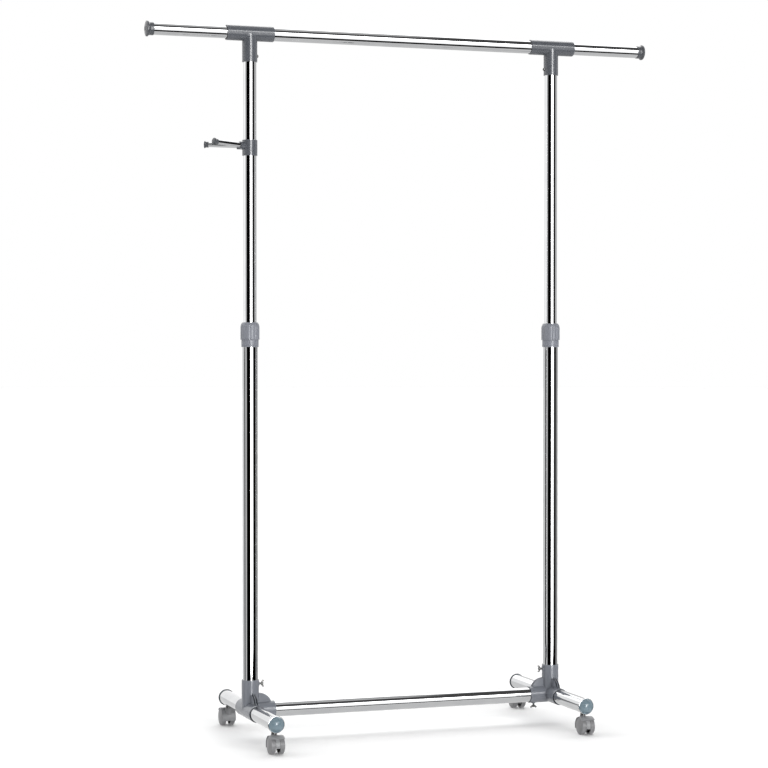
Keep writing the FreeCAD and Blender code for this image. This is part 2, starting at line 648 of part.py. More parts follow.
def tee_screw(side):
    """Domed screw with a cross slot, through the tee's wall and the post's."""
    shank_radius = TEE_SCREW_DIA / 2
    head_radius = TEE_SCREW_HEAD_DIA / 2
    seat = TEE_OUTER / 2
    head_top = seat + TEE_SCREW_HEAD_EDGE + TEE_SCREW_HEAD_CROWN
    solid = turned([
        (0, -TEE_SCREW_LENGTH),
        (shank_radius - TEE_SCREW_POINT_TAPER, -TEE_SCREW_LENGTH),
        (shank_radius, TEE_SCREW_POINT_LENGTH - TEE_SCREW_LENGTH),
        (shank_radius, 0),
        (head_radius, 0),
        (head_radius, TEE_SCREW_HEAD_EDGE),
        dome(head_radius, TEE_SCREW_HEAD_EDGE, TEE_SCREW_HEAD_CROWN),
    ], Vector(0, 0, seat), UP)
    for size_x, size_y in (
        (TEE_SCREW_SLOT_LENGTH, TEE_SCREW_SLOT_WIDTH),
        (TEE_SCREW_SLOT_WIDTH, TEE_SCREW_SLOT_LENGTH),
    ):
        corner = Vector(-size_x / 2, -size_y / 2, head_top - TEE_SCREW_SLOT_DEPTH)
        solid = solid.cut(Part.makeBox(size_x, size_y, TEE_SCREW_SLOT_DEPTH + CUT_MARGIN, corner))
    solid.Placement = FreeCAD.Placement(tee_screw_point(side), FreeCAD.Rotation(UP, Vector(-side, 0, 0)))
    return solid


def top_rail():
    start = Vector(-RAIL_END_X, 0, RAIL_AXIS_HEIGHT)
    return tube(UPPER_TUBE_DIA, UPPER_TUBE_WALL, 2 * RAIL_END_X, start, RIGHTWARDS)


def rail_bush(side):
    """Ring in the tee's outer mouth that guides the extension."""
    base = Vector(side * (RAIL_END_X + FIT), 0, RAIL_AXIS_HEIGHT)
    inner_radius = EXTENSION_DIA / 2 + FIT
    outer_radius = UPPER_TUBE_DIA / 2
    return turned([
        (inner_radius, 0),
        (outer_radius, 0),
        (outer_radius, RAIL_BUSH_LENGTH - RAIL_BUSH_EDGE),
        (outer_radius - RAIL_BUSH_EDGE, RAIL_BUSH_LENGTH),
        (inner_radius + RAIL_BUSH_LEAD_IN, RAIL_BUSH_LENGTH),
        (inner_radius, RAIL_BUSH_LENGTH - RAIL_BUSH_LEAD_IN),
    ], base, Vector(side, 0, 0))


def rail_extension(side):
    end = Vector(side * EXTENSION_END_X, 0, RAIL_AXIS_HEIGHT)
    return tube(EXTENSION_DIA, EXTENSION_WALL, EXTENSION_LENGTH, end, Vector(-side, 0, 0))


def flared_cap(tube_dia, wall, collar_length, flare_length, flare, bow, rim_width, crown, face):
    """Outline of a cap with a concave flare between its collar and its domed rim."""
    bore_radius = tube_dia / 2 + FIT
    collar_radius = bore_radius + wall
    rim_radius = collar_radius + flare
    flare_start = (collar_radius, collar_length)
    flare_end = (rim_radius, collar_length + flare_length)
    length = collar_length + flare_length + rim_width
    return [
        (bore_radius, 0),
        (collar_radius - CAP_EDGE, 0),
        (collar_radius, CAP_EDGE),
        flare_start,
        bowed(flare_start, flare_end, -bow),
        *rounded_rim(rim_radius, length, rim_width / 2),
        dome(rim_radius - rim_width / 2, length, crown),
        (0, length - face),
        (bore_radius, length - face),
    ]


def rail_cap(side):
    steps = flared_cap(EXTENSION_DIA, CAP_WALL, CAP_COLLAR_LENGTH, CAP_FLARE_LENGTH, CAP_FLARE, CAP_FLARE_BOW,
                       CAP_RIM_WIDTH, CAP_DOME_HEIGHT, CAP_FACE)
    outward = Vector(side, 0, 0)
    mouth = Vector(side * CAP_INNER_X, 0, RAIL_AXIS_HEIGHT)
    crown = mouth + outward * (CAP_LENGTH + CAP_DOME_HEIGHT)
    return turned(steps, mouth, outward).cut(cylinder(CAP_DIMPLE_DIA, CAP_DIMPLE_DEPTH, crown, -outward))


# Hook

def hook_centre():
    """On the left post's axis, level with the roots of the prongs."""
    return Vector(-POST_X, 0, RAIL_AXIS_HEIGHT - HOOK_DROP - HOOK_SOCKET_DROP)


def prong_direction(end):
    spread = math.radians(HOOK_SPREAD)
    rise = math.radians(HOOK_RISE)
    level = Vector(-math.cos(spread), end * math.sin(spread), 0)
    return level * math.cos(rise) + UP * math.sin(rise)


def hook_sleeve():
    top = Vector(-POST_X, 0, RAIL_AXIS_HEIGHT - HOOK_DROP)
    prong_bore = PRONG_DIA + 2 * FIT
    socket_dia = prong_bore + 2 * HOOK_SOCKET_WALL
    socket_reach = HOOK_SLEEVE_OUTER / 2 + HOOK_SOCKET_LENGTH
    sleeve = rounded_cylinder(HOOK_SLEEVE_OUTER, HOOK_SLEEVE_HEIGHT, top, DOWN, TEE_EDGE)
    sockets = []
    bores = [cylinder(UPPER_BORE, HOOK_SLEEVE_HEIGHT, top, DOWN)]
    for end in ENDS.values():
        direction = prong_direction(end)
        sockets.append(rounded_cylinder(socket_dia, socket_reach, hook_centre(), direction, TEE_EDGE))
        bores.append(cylinder(prong_bore, socket_reach, hook_centre() + direction * PRONG_ROOT, direction))
    return fused(sleeve, *sockets).cut(bores)


def hook_prong(end):
    direction = prong_direction(end)
    root = hook_centre() + direction * (PRONG_ROOT + FIT)
    return cylinder(PRONG_DIA, PRONG_REACH - PRONG_ROOT - FIT, root, direction)


def hook_prong_caps():
    steps = flared_cap(PRONG_DIA, PRONG_CAP_WALL, PRONG_CAP_COLLAR_LENGTH, PRONG_CAP_FLARE_LENGTH,
                       PRONG_CAP_FLARE, PRONG_CAP_FLARE_BOW, PRONG_CAP_RIM_WIDTH, PRONG_CAP_DOME_HEIGHT,
                       PRONG_CAP_FACE)
    cap_start = PRONG_REACH + FIT + PRONG_CAP_FACE - PRONG_CAP_LENGTH
    caps = []
    for end in ENDS.values():
        direction = prong_direction(end)
        caps.append(turned(steps, hook_centre() + direction * cap_start, direction))
    return Part.makeCompound(caps)


# The whole rack

def make_rack():
    pieces = {"bottom_rail": bottom_rail(), "top_rail": top_rail()}
    for side_name, side in SIDES.items():
        pieces["foot_tube_" + side_name] = foot_tube(side)
        pieces["base_fitting_" + side_name] = base_fitting(side)
        pieces["post_screw_" + side_name] = post_screw(side)
        pieces["rail_screw_" + side_name] = rail_screw(side)
        pieces["lower_post_" + side_name] = lower_post(side)
        pieces["collar_base_" + side_name] = collar_base(side)
        pieces["collar_collet_" + side_name] = collar_collet(side)
        pieces["collar_nut_" + side_name] = collar_nut(side)
        pieces["upper_post_" + side_name] = upper_post(side)
        pieces["post_guide_" + side_name] = post_guide(side)
        pieces["rail_tee_" + side_name] = rail_tee(side)
        pieces["tee_screw_" + side_name] = tee_screw(side)
        pieces["rail_bush_" + side_name] = rail_bush(side)
        pieces["rail_extension_" + side_name] = rail_extension(side)
        pieces["rail_cap_" + side_name] = rail_cap(side)
        for end_name, end in ENDS.items():
            corner = end_name + "_" + side_name
            pieces["foot_cap_" + corner] = foot_cap(side, end)
            pieces["castor_stem_" + corner] = castor_stem(side, end)
            pieces["castor_hood_" + corner] = castor_hood(side, end)
            pieces["castor_axle_" + corner] = castor_axle(side, end)
            pieces["wheel_left_" + corner] = wheel(side, end, -1)
            pieces["wheel_right_" + corner] = wheel(side, end, 1)
    pieces["hook_sleeve"] = hook_sleeve()
    for end_name, end in ENDS.items():
        pieces["hook_prong_" + end_name] = hook_prong(end)
    pieces["hook_prong_caps"] = hook_prong_caps()
    return pieces


os.makedirs("parts", exist_ok=True)
for name, piece in make_rack().items():
    piece.exportStep("parts/" + name + ".step")
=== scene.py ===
import json
import math

import bmesh
import bpy
from mathutils import Matrix, Vector


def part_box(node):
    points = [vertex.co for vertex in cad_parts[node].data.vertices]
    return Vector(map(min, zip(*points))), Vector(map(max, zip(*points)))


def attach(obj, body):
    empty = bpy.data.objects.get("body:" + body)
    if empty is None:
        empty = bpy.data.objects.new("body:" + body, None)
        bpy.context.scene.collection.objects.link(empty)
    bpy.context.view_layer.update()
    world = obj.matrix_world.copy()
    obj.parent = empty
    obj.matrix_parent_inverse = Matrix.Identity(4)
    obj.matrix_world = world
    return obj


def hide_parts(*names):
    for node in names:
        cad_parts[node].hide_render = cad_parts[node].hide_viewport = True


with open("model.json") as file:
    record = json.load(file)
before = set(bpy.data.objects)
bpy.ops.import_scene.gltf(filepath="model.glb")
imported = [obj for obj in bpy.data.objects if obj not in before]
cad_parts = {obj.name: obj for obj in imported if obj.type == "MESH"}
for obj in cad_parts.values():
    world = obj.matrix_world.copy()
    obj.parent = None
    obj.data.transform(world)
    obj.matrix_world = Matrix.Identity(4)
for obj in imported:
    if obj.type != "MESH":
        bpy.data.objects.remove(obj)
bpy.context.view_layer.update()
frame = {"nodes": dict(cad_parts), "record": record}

# A rolling clothes rack: chromed tubes, moulded grey fittings, twin-wheel castors and a belt hook.
# Metres, in the frame of the CAD model: X along the rail, Y from front to back, Z up.

MM = 0.001
SIDES = {"left": -1, "right": 1}
ENDS = {"front": -1, "back": 1}
X_AXIS = Vector((1, 0, 0))
Y_AXIS = Vector((0, 1, 0))
Z_AXIS = Vector((0, 0, 1))

# Walls and edges that the outside boxes don't give
BASE_TUBE_WALL = 1.2 * MM
UPPER_TUBE_WALL = 1.1 * MM
EXTENSION_WALL = 1.0 * MM
TUBE_EDGE = 0.35 * MM
FIT = 0.05 * MM
SMOOTH_ANGLE = math.radians(32)
ROUND_STEPS = 96
SMALL_STEPS = 48


# Building meshes

def placed(base, direction, across=None):
    """Matrix that stands local Z along direction at base, with local X along across where given."""
    up = Vector(direction).normalized()
    if across is None:
        turn = up.to_track_quat("Z", "Y").to_matrix()
    else:
        x = Vector(across).normalized()
        turn = Matrix((x, up.cross(x), up)).transposed()
    return Matrix.Translation(base) @ turn.to_4x4()


def seat(node, direction):
    """Start point, length and radius of a CAD node that is round about direction."""
    low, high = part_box(node)
    way = Vector(direction)
    along = max(range(3), key=lambda i: abs(way[i]))
    length = high[along] - low[along]
    radius = min(high[i] - low[i] for i in range(3) if i != along) / 2
    return (low + high) / 2 - way * length / 2, length, radius


def softened(outline, edge, steps=3, closed=True):
    """The outline with each corner rounded to edge, or to less where its sides are short."""
    points = [Vector(p) for p in outline]
    made = []
    for index, corner in enumerate(points):
        before = points[index - 1]
        after = points[(index + 1) % len(points)]
        at_end = not closed and index in (0, len(points) - 1)
        if at_end or (corner - before).length < 1e-9 or (after - corner).length < 1e-9:
            made.append(corner)
            continue
        back, ahead = (before - corner).normalized(), (after - corner).normalized()
        turn = math.pi - back.angle(ahead)
        if turn < math.radians(12):
            made.append(corner)
            continue
        cut = min(edge * math.tan(turn / 2), (before - corner).length * 0.45, (after - corner).length * 0.45)
        start, end = corner + back * cut, corner + ahead * cut
        for step in range(steps + 1):
            share = step / steps
            made.append(start * (1 - share) ** 2 + corner * 2 * share * (1 - share) + end * share ** 2)
    return [tuple(p) for p in made]


def arc(centre, radius, start, end, steps=10):
    """Points on an arc, in degrees from the radius direction."""
    angles = [math.radians(start + (end - start) * i / steps) for i in range(steps + 1)]
    return [(centre[0] + radius * math.cos(a), centre[1] + radius * math.sin(a)) for a in angles]


def crown(radius, start, rise, steps=10):
    """Points of a spherical crown, from its rim up to the axis."""
    half = 2 * math.atan(rise / radius)
    sphere = radius / math.sin(half)
    centre = (0, start + rise - sphere)
    return arc(centre, sphere, 90 - math.degrees(half), 90, steps)


def turned(outline, steps=ROUND_STEPS):
    """bmesh turned from an outline of (radius, height); one that starts and ends on the axis is solid."""
    bm = bmesh.new()
    solid = abs(outline[0][0]) < 1e-9 and abs(outline[-1][0]) < 1e-9
    verts = [bm.verts.new((r, 0, z)) for r, z in outline]
    pairs = list(zip(verts, verts[1:]))
    if not solid:
        pairs.append((verts[-1], verts[0]))
    edges = [bm.edges.new(pair) for pair in pairs]
    bmesh.ops.spin(bm, geom=verts + edges, cent=(0, 0, 0), axis=(0, 0, 1), dvec=(0, 0, 0),
                   angle=math.tau, steps=steps, use_merge=True, use_normal_flip=False)
    clean(bm)
    return bm


def clean(bm):
    bmesh.ops.remove_doubles(bm, verts=bm.verts, dist=1e-7)
    bmesh.ops.dissolve_degenerate(bm, edges=bm.edges, dist=1e-8)
    bmesh.ops.recalc_face_normals(bm, faces=bm.faces)


def cylinder(radius, length, steps=ROUND_STEPS, edge=0.0):
    outline = [(0, 0), (radius, 0), (radius, length), (0, length)]
    if edge:
        outline = softened(outline, edge, closed=False)
    return turned(outline, steps)


def moved(bm, matrix):
    bmesh.ops.transform(bm, matrix=matrix, verts=bm.verts)
    return bm


def joined(parts):
    """One bmesh that holds several, each as its own closed shell."""
    whole = bmesh.new()
    for part in parts:
        mesh = bpy.data.meshes.new("part")
        part.to_mesh(mesh)
        part.free()
        whole.from_mesh(mesh)
        bpy.data.meshes.remove(mesh)
    return whole


def to_object(bm, name):
    mesh = bpy.data.meshes.new(name)
    bm.to_mesh(mesh)
    bm.free()
    thing = bpy.data.objects.new(name, mesh)
    bpy.context.scene.collection.objects.link(thing)
    return thing


def carved(blank, added, removed):
    """The blank with other bmeshes merged into it and cut out of it."""
    body = to_object(blank, "blank")
    for bm, operation in [(a, "UNION") for a in added] + [(r, "DIFFERENCE") for r in removed]:
        tool = to_object(bm, "tool")
        step = body.modifiers.new(operation, "BOOLEAN")
        step.operation = operation
        step.solver = "EXACT"
        step.object = tool
        bpy.context.view_layer.update()
        evaluated = body.evaluated_get(bpy.context.evaluated_depsgraph_get())
        result = bpy.data.meshes.new_from_object(evaluated)
        body.modifiers.clear()
        body.data = result
        bpy.data.objects.remove(tool)
    out = bmesh.new()
    out.from_mesh(body.data)
    bpy.data.objects.remove(body)
    clean(out)
    return out


def piece(bm, name, body, slot, finish, *nodes):
    """Finished piece that rides on a body and stands for CAD nodes."""
    thing = to_object(bm, name)
    thing.data.materials.append(finish)
    thing.data.shade_smooth()
    thing.data.set_sharp_from_angle(angle=SMOOTH_ANGLE)
    shading = thing.modifiers.new("flat_walls_stay_flat", "WEIGHTED_NORMAL")
    shading.keep_sharp = True
    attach(thing, body)
    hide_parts(*nodes)
    return thing


# Finishes

class Recipe:
    """Node tree of one finish, read on Object coordinates."""

    def __init__(self, name):
        self.material = bpy.data.materials.new(name)
        self.material.use_nodes = True
        self.nodes = self.material.node_tree.nodes
        self.links = self.material.node_tree.links
        self.shader = self.nodes["Principled BSDF"]
        self.place = self.nodes.new("ShaderNodeTexCoord").outputs["Object"]

    def noise(self, scale, detail=3.0, stretch=(1, 1, 1), distortion=0.0):
        mapping = self.nodes.new("ShaderNodeMapping")
        mapping.inputs["Scale"].default_value = stretch
        texture = self.nodes.new("ShaderNodeTexNoise")
        texture.inputs["Scale"].default_value = scale
        texture.inputs["Detail"].default_value = detail
        texture.inputs["Distortion"].default_value = distortion
        self.links.new(self.place, mapping.inputs["Vector"])
        self.links.new(mapping.outputs["Vector"], texture.inputs["Vector"])
        return texture.outputs["Fac"]

    def ranged(self, value, low, high, start=0.3, end=0.7):
        node = self.nodes.new("ShaderNodeMapRange")
        node.inputs["From Min"].default_value = start
        node.inputs["From Max"].default_value = end
        node.inputs["To Min"].default_value = low
        node.inputs["To Max"].default_value = high
        self.links.new(value, node.inputs["Value"])
        return node.outputs["Result"]

    def sum(self, first, second):
        node = self.nodes.new("ShaderNodeMath")
        node.operation = "ADD"
        self.links.new(first, node.inputs[0])
        self.links.new(second, node.inputs[1])
        return node.outputs["Value"]

    def colour(self, value, first, second):
        node = self.nodes.new("ShaderNodeMix")
        node.data_type = "RGBA"
        node.inputs["A"].default_value = (*first, 1)
        node.inputs["B"].default_value = (*second, 1)
        self.links.new(value, node.inputs["Factor"])
        self.links.new(node.outputs["Result"], self.shader.inputs["Base Color"])

    def roughness(self, value):
        self.links.new(value, self.shader.inputs["Roughness"])

    def bump(self, height, strength, distance, under=None):
        node = self.nodes.new("ShaderNodeBump")
        node.inputs["Strength"].default_value = strength
        node.inputs["Distance"].default_value = distance
        self.links.new(height, node.inputs["Height"])
        if under is not None:
            self.links.new(under, node.inputs["Normal"])
        self.links.new(node.outputs["Normal"], self.shader.inputs["Normal"])
        return node.outputs["Normal"]


def chrome_plate(axis):
    """Bright chrome over drawn steel: faint draw lines along the tube, smudges and fine scratches."""
    recipe = Recipe("chrome_along_" + axis)
    recipe.shader.inputs["Metallic"].default_value = 1.0
    along = tuple(0.02 if letter == axis else 1.0 for letter in "xyz")
    smudges = recipe.noise(28.0, 4.0, distortion=0.6)
    scratches = recipe.noise(900.0, 2.0, stretch=along)
    recipe.roughness(recipe.sum(recipe.ranged(smudges, 0.015, 0.06), recipe.ranged(scratches, 0.0, 0.02)))
    recipe.colour(recipe.ranged(smudges, 0.0, 1.0), (0.60, 0.605, 0.61), (0.56, 0.565, 0.575))
    waves = recipe.bump(recipe.noise(9.0, 1.0, stretch=tuple(0.3 if s < 1 else 1.0 for s in along)), 0.02, 0.0008)
    recipe.bump(scratches, 0.004, 0.00004, waves)
    return recipe.material


def moulded(name, light, dark, rough, grain=0.015, specular=0.5):
    """Injection-moulded plastic: fine spark grain, slow shade changes, rubbed patches."""
    recipe = Recipe(name)
    recipe.shader.inputs["Specular IOR Level"].default_value = specular
    shade = recipe.noise(22.0, 3.0, distortion=0.4)
    rubbed = recipe.noise(75.0, 5.0)
    grains = recipe.noise(2600.0, 2.0)
    recipe.colour(recipe.ranged(shade, 0.0, 1.0), light, dark)
    recipe.roughness(recipe.sum(recipe.ranged(rubbed, rough - 0.05, rough + 0.07), recipe.ranged(grains, 0.0, 0.04)))
    flow = recipe.bump(recipe.noise(60.0, 1.0), 0.08, 0.0003)
    recipe.bump(grains, grain, 0.00006, flow)
    return recipe.material


def zinc_plate():
    """Bright zinc on small hardware, with a cloudy, slightly brushed surface."""
    recipe = Recipe("zinc_plate")
    recipe.shader.inputs["Metallic"].default_value = 1.0
    clouds = recipe.noise(340.0, 4.0, distortion=0.8)
    recipe.colour(recipe.ranged(clouds, 0.0, 1.0), (0.24, 0.24, 0.235), (0.12, 0.12, 0.12))
    recipe.roughness(recipe.ranged(clouds, 0.22, 0.38))
    recipe.bump(recipe.noise(2200.0, 2.0), 0.12, 0.00005)
    return recipe.material


CHROME = {axis: chrome_plate(axis) for axis in "xyz"}
TEE_GREY = moulded("tee_grey", (0.082, 0.087, 0.098), (0.072, 0.077, 0.087), 0.16)
FITTING_GREY = moulded("fitting_grey", (0.160, 0.170, 0.192), (0.142, 0.152, 0.172), 0.17)
COLLAR_GREY = moulded("collar_grey", (0.182, 0.190, 0.217), (0.163, 0.171, 0.196), 0.34, grain=0.012)
CAP_GREY = moulded("cap_grey", (0.066, 0.070, 0.077), (0.056, 0.060, 0.067), 0.22)
DOME_GREY = moulded("dome_blue_grey", (0.150, 0.205, 0.238), (0.130, 0.180, 0.212), 0.12, grain=0.01)
CASTOR_GREY = moulded("castor_grey", (0.235, 0.238, 0.245), (0.200, 0.203, 0.210), 0.32)
WHEEL_GREY = moulded("wheel_grey", (0.185, 0.185, 0.191), (0.155, 0.155, 0.161), 0.36)
BUSH_BLACK = moulded("bush_black", (0.020, 0.020, 0.021), (0.014, 0.014, 0.015), 0.45)
CARD_BLACK = moulded("card_black", (0.002, 0.002, 0.002), (0.001, 0.001, 0.001), 0.9, specular=0.0)
ZINC = zinc_plate()


# Chromed tubes

def chrome_tube(node, axis, way, body, wall):
    base, length, radius = seat(node, way)
    corners = [(radius - wall, 0), (radius, 0), (radius, length), (radius - wall, length)]
    bm = turned(softened(corners, TUBE_EDGE))
    piece(moved(bm, placed(base, way)), node + "_chrome", body, "chromed_tube", CHROME[axis], node)


def make_tubes():
    chrome_tube("bottom_rail", "x", X_AXIS, "base", BASE_TUBE_WALL)
    chrome_tube("top_rail", "x", X_AXIS, "upper_frame", UPPER_TUBE_WALL)
    for side in SIDES:
        chrome_tube("foot_tube_" + side, "y", Y_AXIS, "base", BASE_TUBE_WALL)
        chrome_tube("lower_post_" + side, "z", Z_AXIS, "base", BASE_TUBE_WALL)
        chrome_tube("upper_post_" + side, "z", Z_AXIS, "upper_frame", UPPER_TUBE_WALL)
        chrome_tube("rail_extension_" + side, "x", X_AXIS, "extension_" + side, EXTENSION_WALL)


# Foot caps

FLANGE_WIDTH = 3.0 * MM
DOME_INSET = 1.0 * MM
PLUG_LEAD_IN = 1.0 * MM


def foot_cap(corner, side, end):
    """Domed cap with a round-edged flange, and the plug that fills the end of the foot tube."""
    node = "foot_cap_" + corner
    tube_low, tube_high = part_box("foot_tube_" + side)
    low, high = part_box(node)
    outward = Y_AXIS * ENDS[end]
    mouth = tube_high.y
    tube_radius = (tube_high.x - tube_low.x) / 2
    rim = (high.x - low.x) / 2
    inner, outer = sorted((abs(low.y), abs(high.y)))
    plug = tube_radius - BASE_TUBE_WALL - FIT
    plug_end = inner - mouth
    rise = outer - mouth - FLANGE_WIDTH
    outline = [(0, plug_end), (plug - PLUG_LEAD_IN, plug_end), (plug, plug_end + PLUG_LEAD_IN), (plug, 0)]
    outline += arc((rim - FLANGE_WIDTH / 2, FLANGE_WIDTH / 2), FLANGE_WIDTH / 2, -90, 90)
    outline += crown(tube_radius - DOME_INSET, FLANGE_WIDTH, rise, 24)
    centre = Vector(((low.x + high.x) / 2, 0, (tube_low.z + tube_high.z) / 2)) + outward * mouth
    bm = turned(outline)
    for face in bm.faces:
        middle = face.calc_center_median()
        out = math.hypot(middle.x, middle.y)
        if out > rim - 1.8 * MM and middle.z > FLANGE_WIDTH * 0.35:
            face.material_index = 1
        # Faces on the back of the flange's rounded edge, towards the tube, take the darker cap grey: painted shade
        # where the flange meets the tube.
        elif 0 < middle.z < FLANGE_WIDTH * 0.9 and out > tube_radius - DOME_INSET:
            face.material_index = 2
    cap = piece(moved(bm, placed(centre, outward)), node + "_moulding", "base", "cap_plastic", DOME_GREY, node)
    cap.data.materials.append(CHROME["y"])
    # The darker cap grey here is painted shade on the back of the flange's edge, not a separate part.
    cap.data.materials.append(CAP_GREY)


# Base fittings

FITTING_EDGE = 0.7 * MM
COUNTERBORE = 1.25 * MM
COUNTERBORE_DEPTH = 3.0 * MM
BOSS_RADIUS = 4.5 * MM
BOSS_HEIGHT = 1.2 * MM
SCREW_HOLE_RADIUS = 2.05 * MM
RAIL_SOCKET_DEPTH = 32.0 * MM
GUSSET_THICKNESS = 9.0 * MM
GUSSET_RADIUS = 28.0 * MM
GUSSET_LIFT = 8.0 * MM
GUSSET_EDGE = 0.5 * MM
SLOT_WIDTH = 2.8 * MM
SLOT_OFFSET = 2.4 * MM
SLOT_DEPTH = 17.0 * MM
RING_STEP = 5.0 * MM
CUT_MARGIN = 5.0 * MM


def ringed(outline):
    """The outline with its long runs split, so that a turned blank has rings and is cut cleanly."""
    made = []
    for start, end in zip(outline, outline[1:]):
        parts = max(1, round(math.dist(start, end) / RING_STEP))
        for i in range(parts):
            made.append(tuple(a + (b - a) * i / parts for a, b in zip(start, end)))
    return made + [outline[-1]]


def bar(radius, base, way, length, edge=FITTING_EDGE):
    """Round bar with rounded ends, stood on base along way."""
    corners = [(0, 0), (radius, 0), (radius, length), (0, length)]
    return moved(turned(ringed(softened(corners, edge, closed=False))), placed(base, way))


def cutter(radius, base, way, length, mouths=()):
    """Cutter for a bore from base along way. It opens to a counterbore at the mouths named in and out."""
    wide = radius + COUNTERBORE
    start = [(wide, -CUT_MARGIN), (wide, COUNTERBORE_DEPTH), (radius, COUNTERBORE_DEPTH)]
    end = [(radius, length - COUNTERBORE_DEPTH), (wide, length - COUNTERBORE_DEPTH), (wide, length + CUT_MARGIN)]
    outline = start if "in" in mouths else [(radius, 0)]
    outline = outline + (end if "out" in mouths else [(radius, length + CUT_MARGIN)])
    outline = [(0, outline[0][1])] + outline + [(0, outline[-1][1])]
    return moved(turned(ringed(outline)), placed(base, way))


def gusset(base, heading, across):
    """Quarter disc that braces the upright socket along heading, with its flat foot on base."""
    disc = bar(GUSSET_RADIUS, base - across * GUSSET_THICKNESS / 2, across, GUSSET_THICKNESS, GUSSET_EDGE)
    for direction, keep in ((Z_AXIS, GUSSET_LIFT), (heading, GUSSET_LIFT)):
        cut = bmesh.ops.bisect_plane(disc, geom=disc.verts[:] + disc.edges[:] + disc.faces[:], dist=1e-8,
                                     plane_co=base - direction * keep / 4, plane_no=-direction, clear_outer=True)
        rim = [item for item in cut["geom_cut"] if isinstance(item, bmesh.types.BMEdge)]
        bmesh.ops.edgenet_fill(disc, edges=rim)
    clean(disc)
    return disc


def gusset_slots(base, across):
    """Cutters for the two cored slots in a gusset's rim."""
    inner, outer = GUSSET_RADIUS - SLOT_DEPTH, GUSSET_RADIUS + CUT_MARGIN
    slots = []
    for offset in (-SLOT_OFFSET, SLOT_OFFSET):
        ring = turned([(inner, 0), (outer, 0), (outer, SLOT_WIDTH), (inner, SLOT_WIDTH)])
        slots.append(moved(ring, placed(base + across * (offset - SLOT_WIDTH / 2), across)))
    return slots


def base_fitting(side):
    """Three-way joint: a sleeve on the foot tube, a socket for the rail and an upright socket for the post."""
    node = "base_fitting_" + side
    low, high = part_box(node)
    tube_low, tube_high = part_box("foot_tube_" + side)
    post_low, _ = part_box("lower_post_" + side)
    inward = -X_AXIS * SIDES[side]
    tube_radius = (tube_high.x - tube_low.x) / 2
    centre = Vector(((tube_low.x + tube_high.x) / 2, 0, (tube_low.z + tube_high.z) / 2))
    outer_side = max(abs(low.x), abs(high.x)) - abs(centre.x)
    sleeve_radius = centre.z - low.z - BOSS_HEIGHT
    reach = abs(centre.x) - min(abs(low.x), abs(high.x))
    bore = tube_radius + FIT
    post_screw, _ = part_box("post_screw_" + side)
    screw_height = sum(c.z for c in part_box("post_screw_" + side)) / 2
    screw_reach = abs(centre.x - sum(c.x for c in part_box("rail_screw_" + side)) / 2)
    post_hole = Vector((centre.x, 0, screw_height))
    rail_hole = centre + inward * screw_reach
    sleeve_start = Vector((centre.x, low.y, centre.z))
    sleeve_length = high.y - low.y
    blank = bar(sleeve_radius, sleeve_start, Y_AXIS, sleeve_length)
    added = [bar(outer_side, centre, Z_AXIS, high.z - centre.z),
             bar(sleeve_radius, centre, inward, reach),
             bar(BOSS_RADIUS, post_hole, inward, outer_side + BOSS_HEIGHT, 0.3 * MM),
             bar(BOSS_RADIUS, rail_hole, -Z_AXIS, sleeve_radius + BOSS_HEIGHT, 0.3 * MM)]
    removed = [cutter(bore, sleeve_start, Y_AXIS, sleeve_length, ("in", "out")),
               cutter(bore, Vector((centre.x, 0, post_low.z)), Z_AXIS, high.z - post_low.z),
               cutter(bore, centre + inward * (reach - RAIL_SOCKET_DEPTH), inward, RAIL_SOCKET_DEPTH, ("out",)),
               cutter(SCREW_HOLE_RADIUS, post_hole, inward, outer_side + BOSS_HEIGHT),
               cutter(SCREW_HOLE_RADIUS, rail_hole, -Z_AXIS, sleeve_radius + BOSS_HEIGHT)]
    for heading, across in ((inward, Y_AXIS), (Y_AXIS, X_AXIS), (-Y_AXIS, X_AXIS)):
        foot = centre + heading * outer_side + Z_AXIS * GUSSET_LIFT
        added.append(carved(gusset(foot, heading, across), [], gusset_slots(foot, across)))
    piece(carved(blank, added, removed), node + "_moulding", "base", "fitting_plastic", FITTING_GREY, node)


# Thumb screws

SCREW_RADIUS = 2.0 * MM
THREAD_DEPTH = 0.3 * MM
THREAD_PITCH = 0.7 * MM
HUB_RADIUS = 3.5 * MM
HUB_LENGTH = 4.5 * MM
WING_SPAN = 15.0 * MM
WING_LENGTH = 6.6 * MM
WING_THICKNESS = 2.6 * MM
WING_LOBE = 2.4 * MM
WING_EDGE = 0.6 * MM


def threaded_rod(radius, length, depth=THREAD_DEPTH, pitch=THREAD_PITCH):
    """Rod with a screw thread, from 0 to length, closed at both ends."""
    bm = bmesh.new()
    turns = math.ceil(length / pitch) + 2
    verts = [bm.verts.new((r, 0, z - pitch)) for r, z in ((radius - depth, 0), (radius, pitch / 2), (radius - depth, pitch))]
    edges = [bm.edges.new(pair) for pair in zip(verts, verts[1:])]
    bmesh.ops.spin(bm, geom=verts + edges, cent=(0, 0, 0), axis=(0, 0, 1), dvec=(0, 0, pitch / SMALL_STEPS),
                   angle=math.tau * turns, steps=SMALL_STEPS * turns, use_merge=False)
    bmesh.ops.remove_doubles(bm, verts=bm.verts, dist=1e-6)
    for height, normal in ((0, -Z_AXIS), (length, Z_AXIS)):
        cut = bmesh.ops.bisect_plane(bm, geom=bm.verts[:] + bm.edges[:] + bm.faces[:], dist=1e-8,
                                     plane_co=(0, 0, height), plane_no=normal, clear_outer=True)
        rim = [item for item in cut["geom_cut"] if isinstance(item, bmesh.types.BMEdge)]
        bmesh.ops.edgenet_fill(bm, edges=rim)
    clean(bm)
    return bm


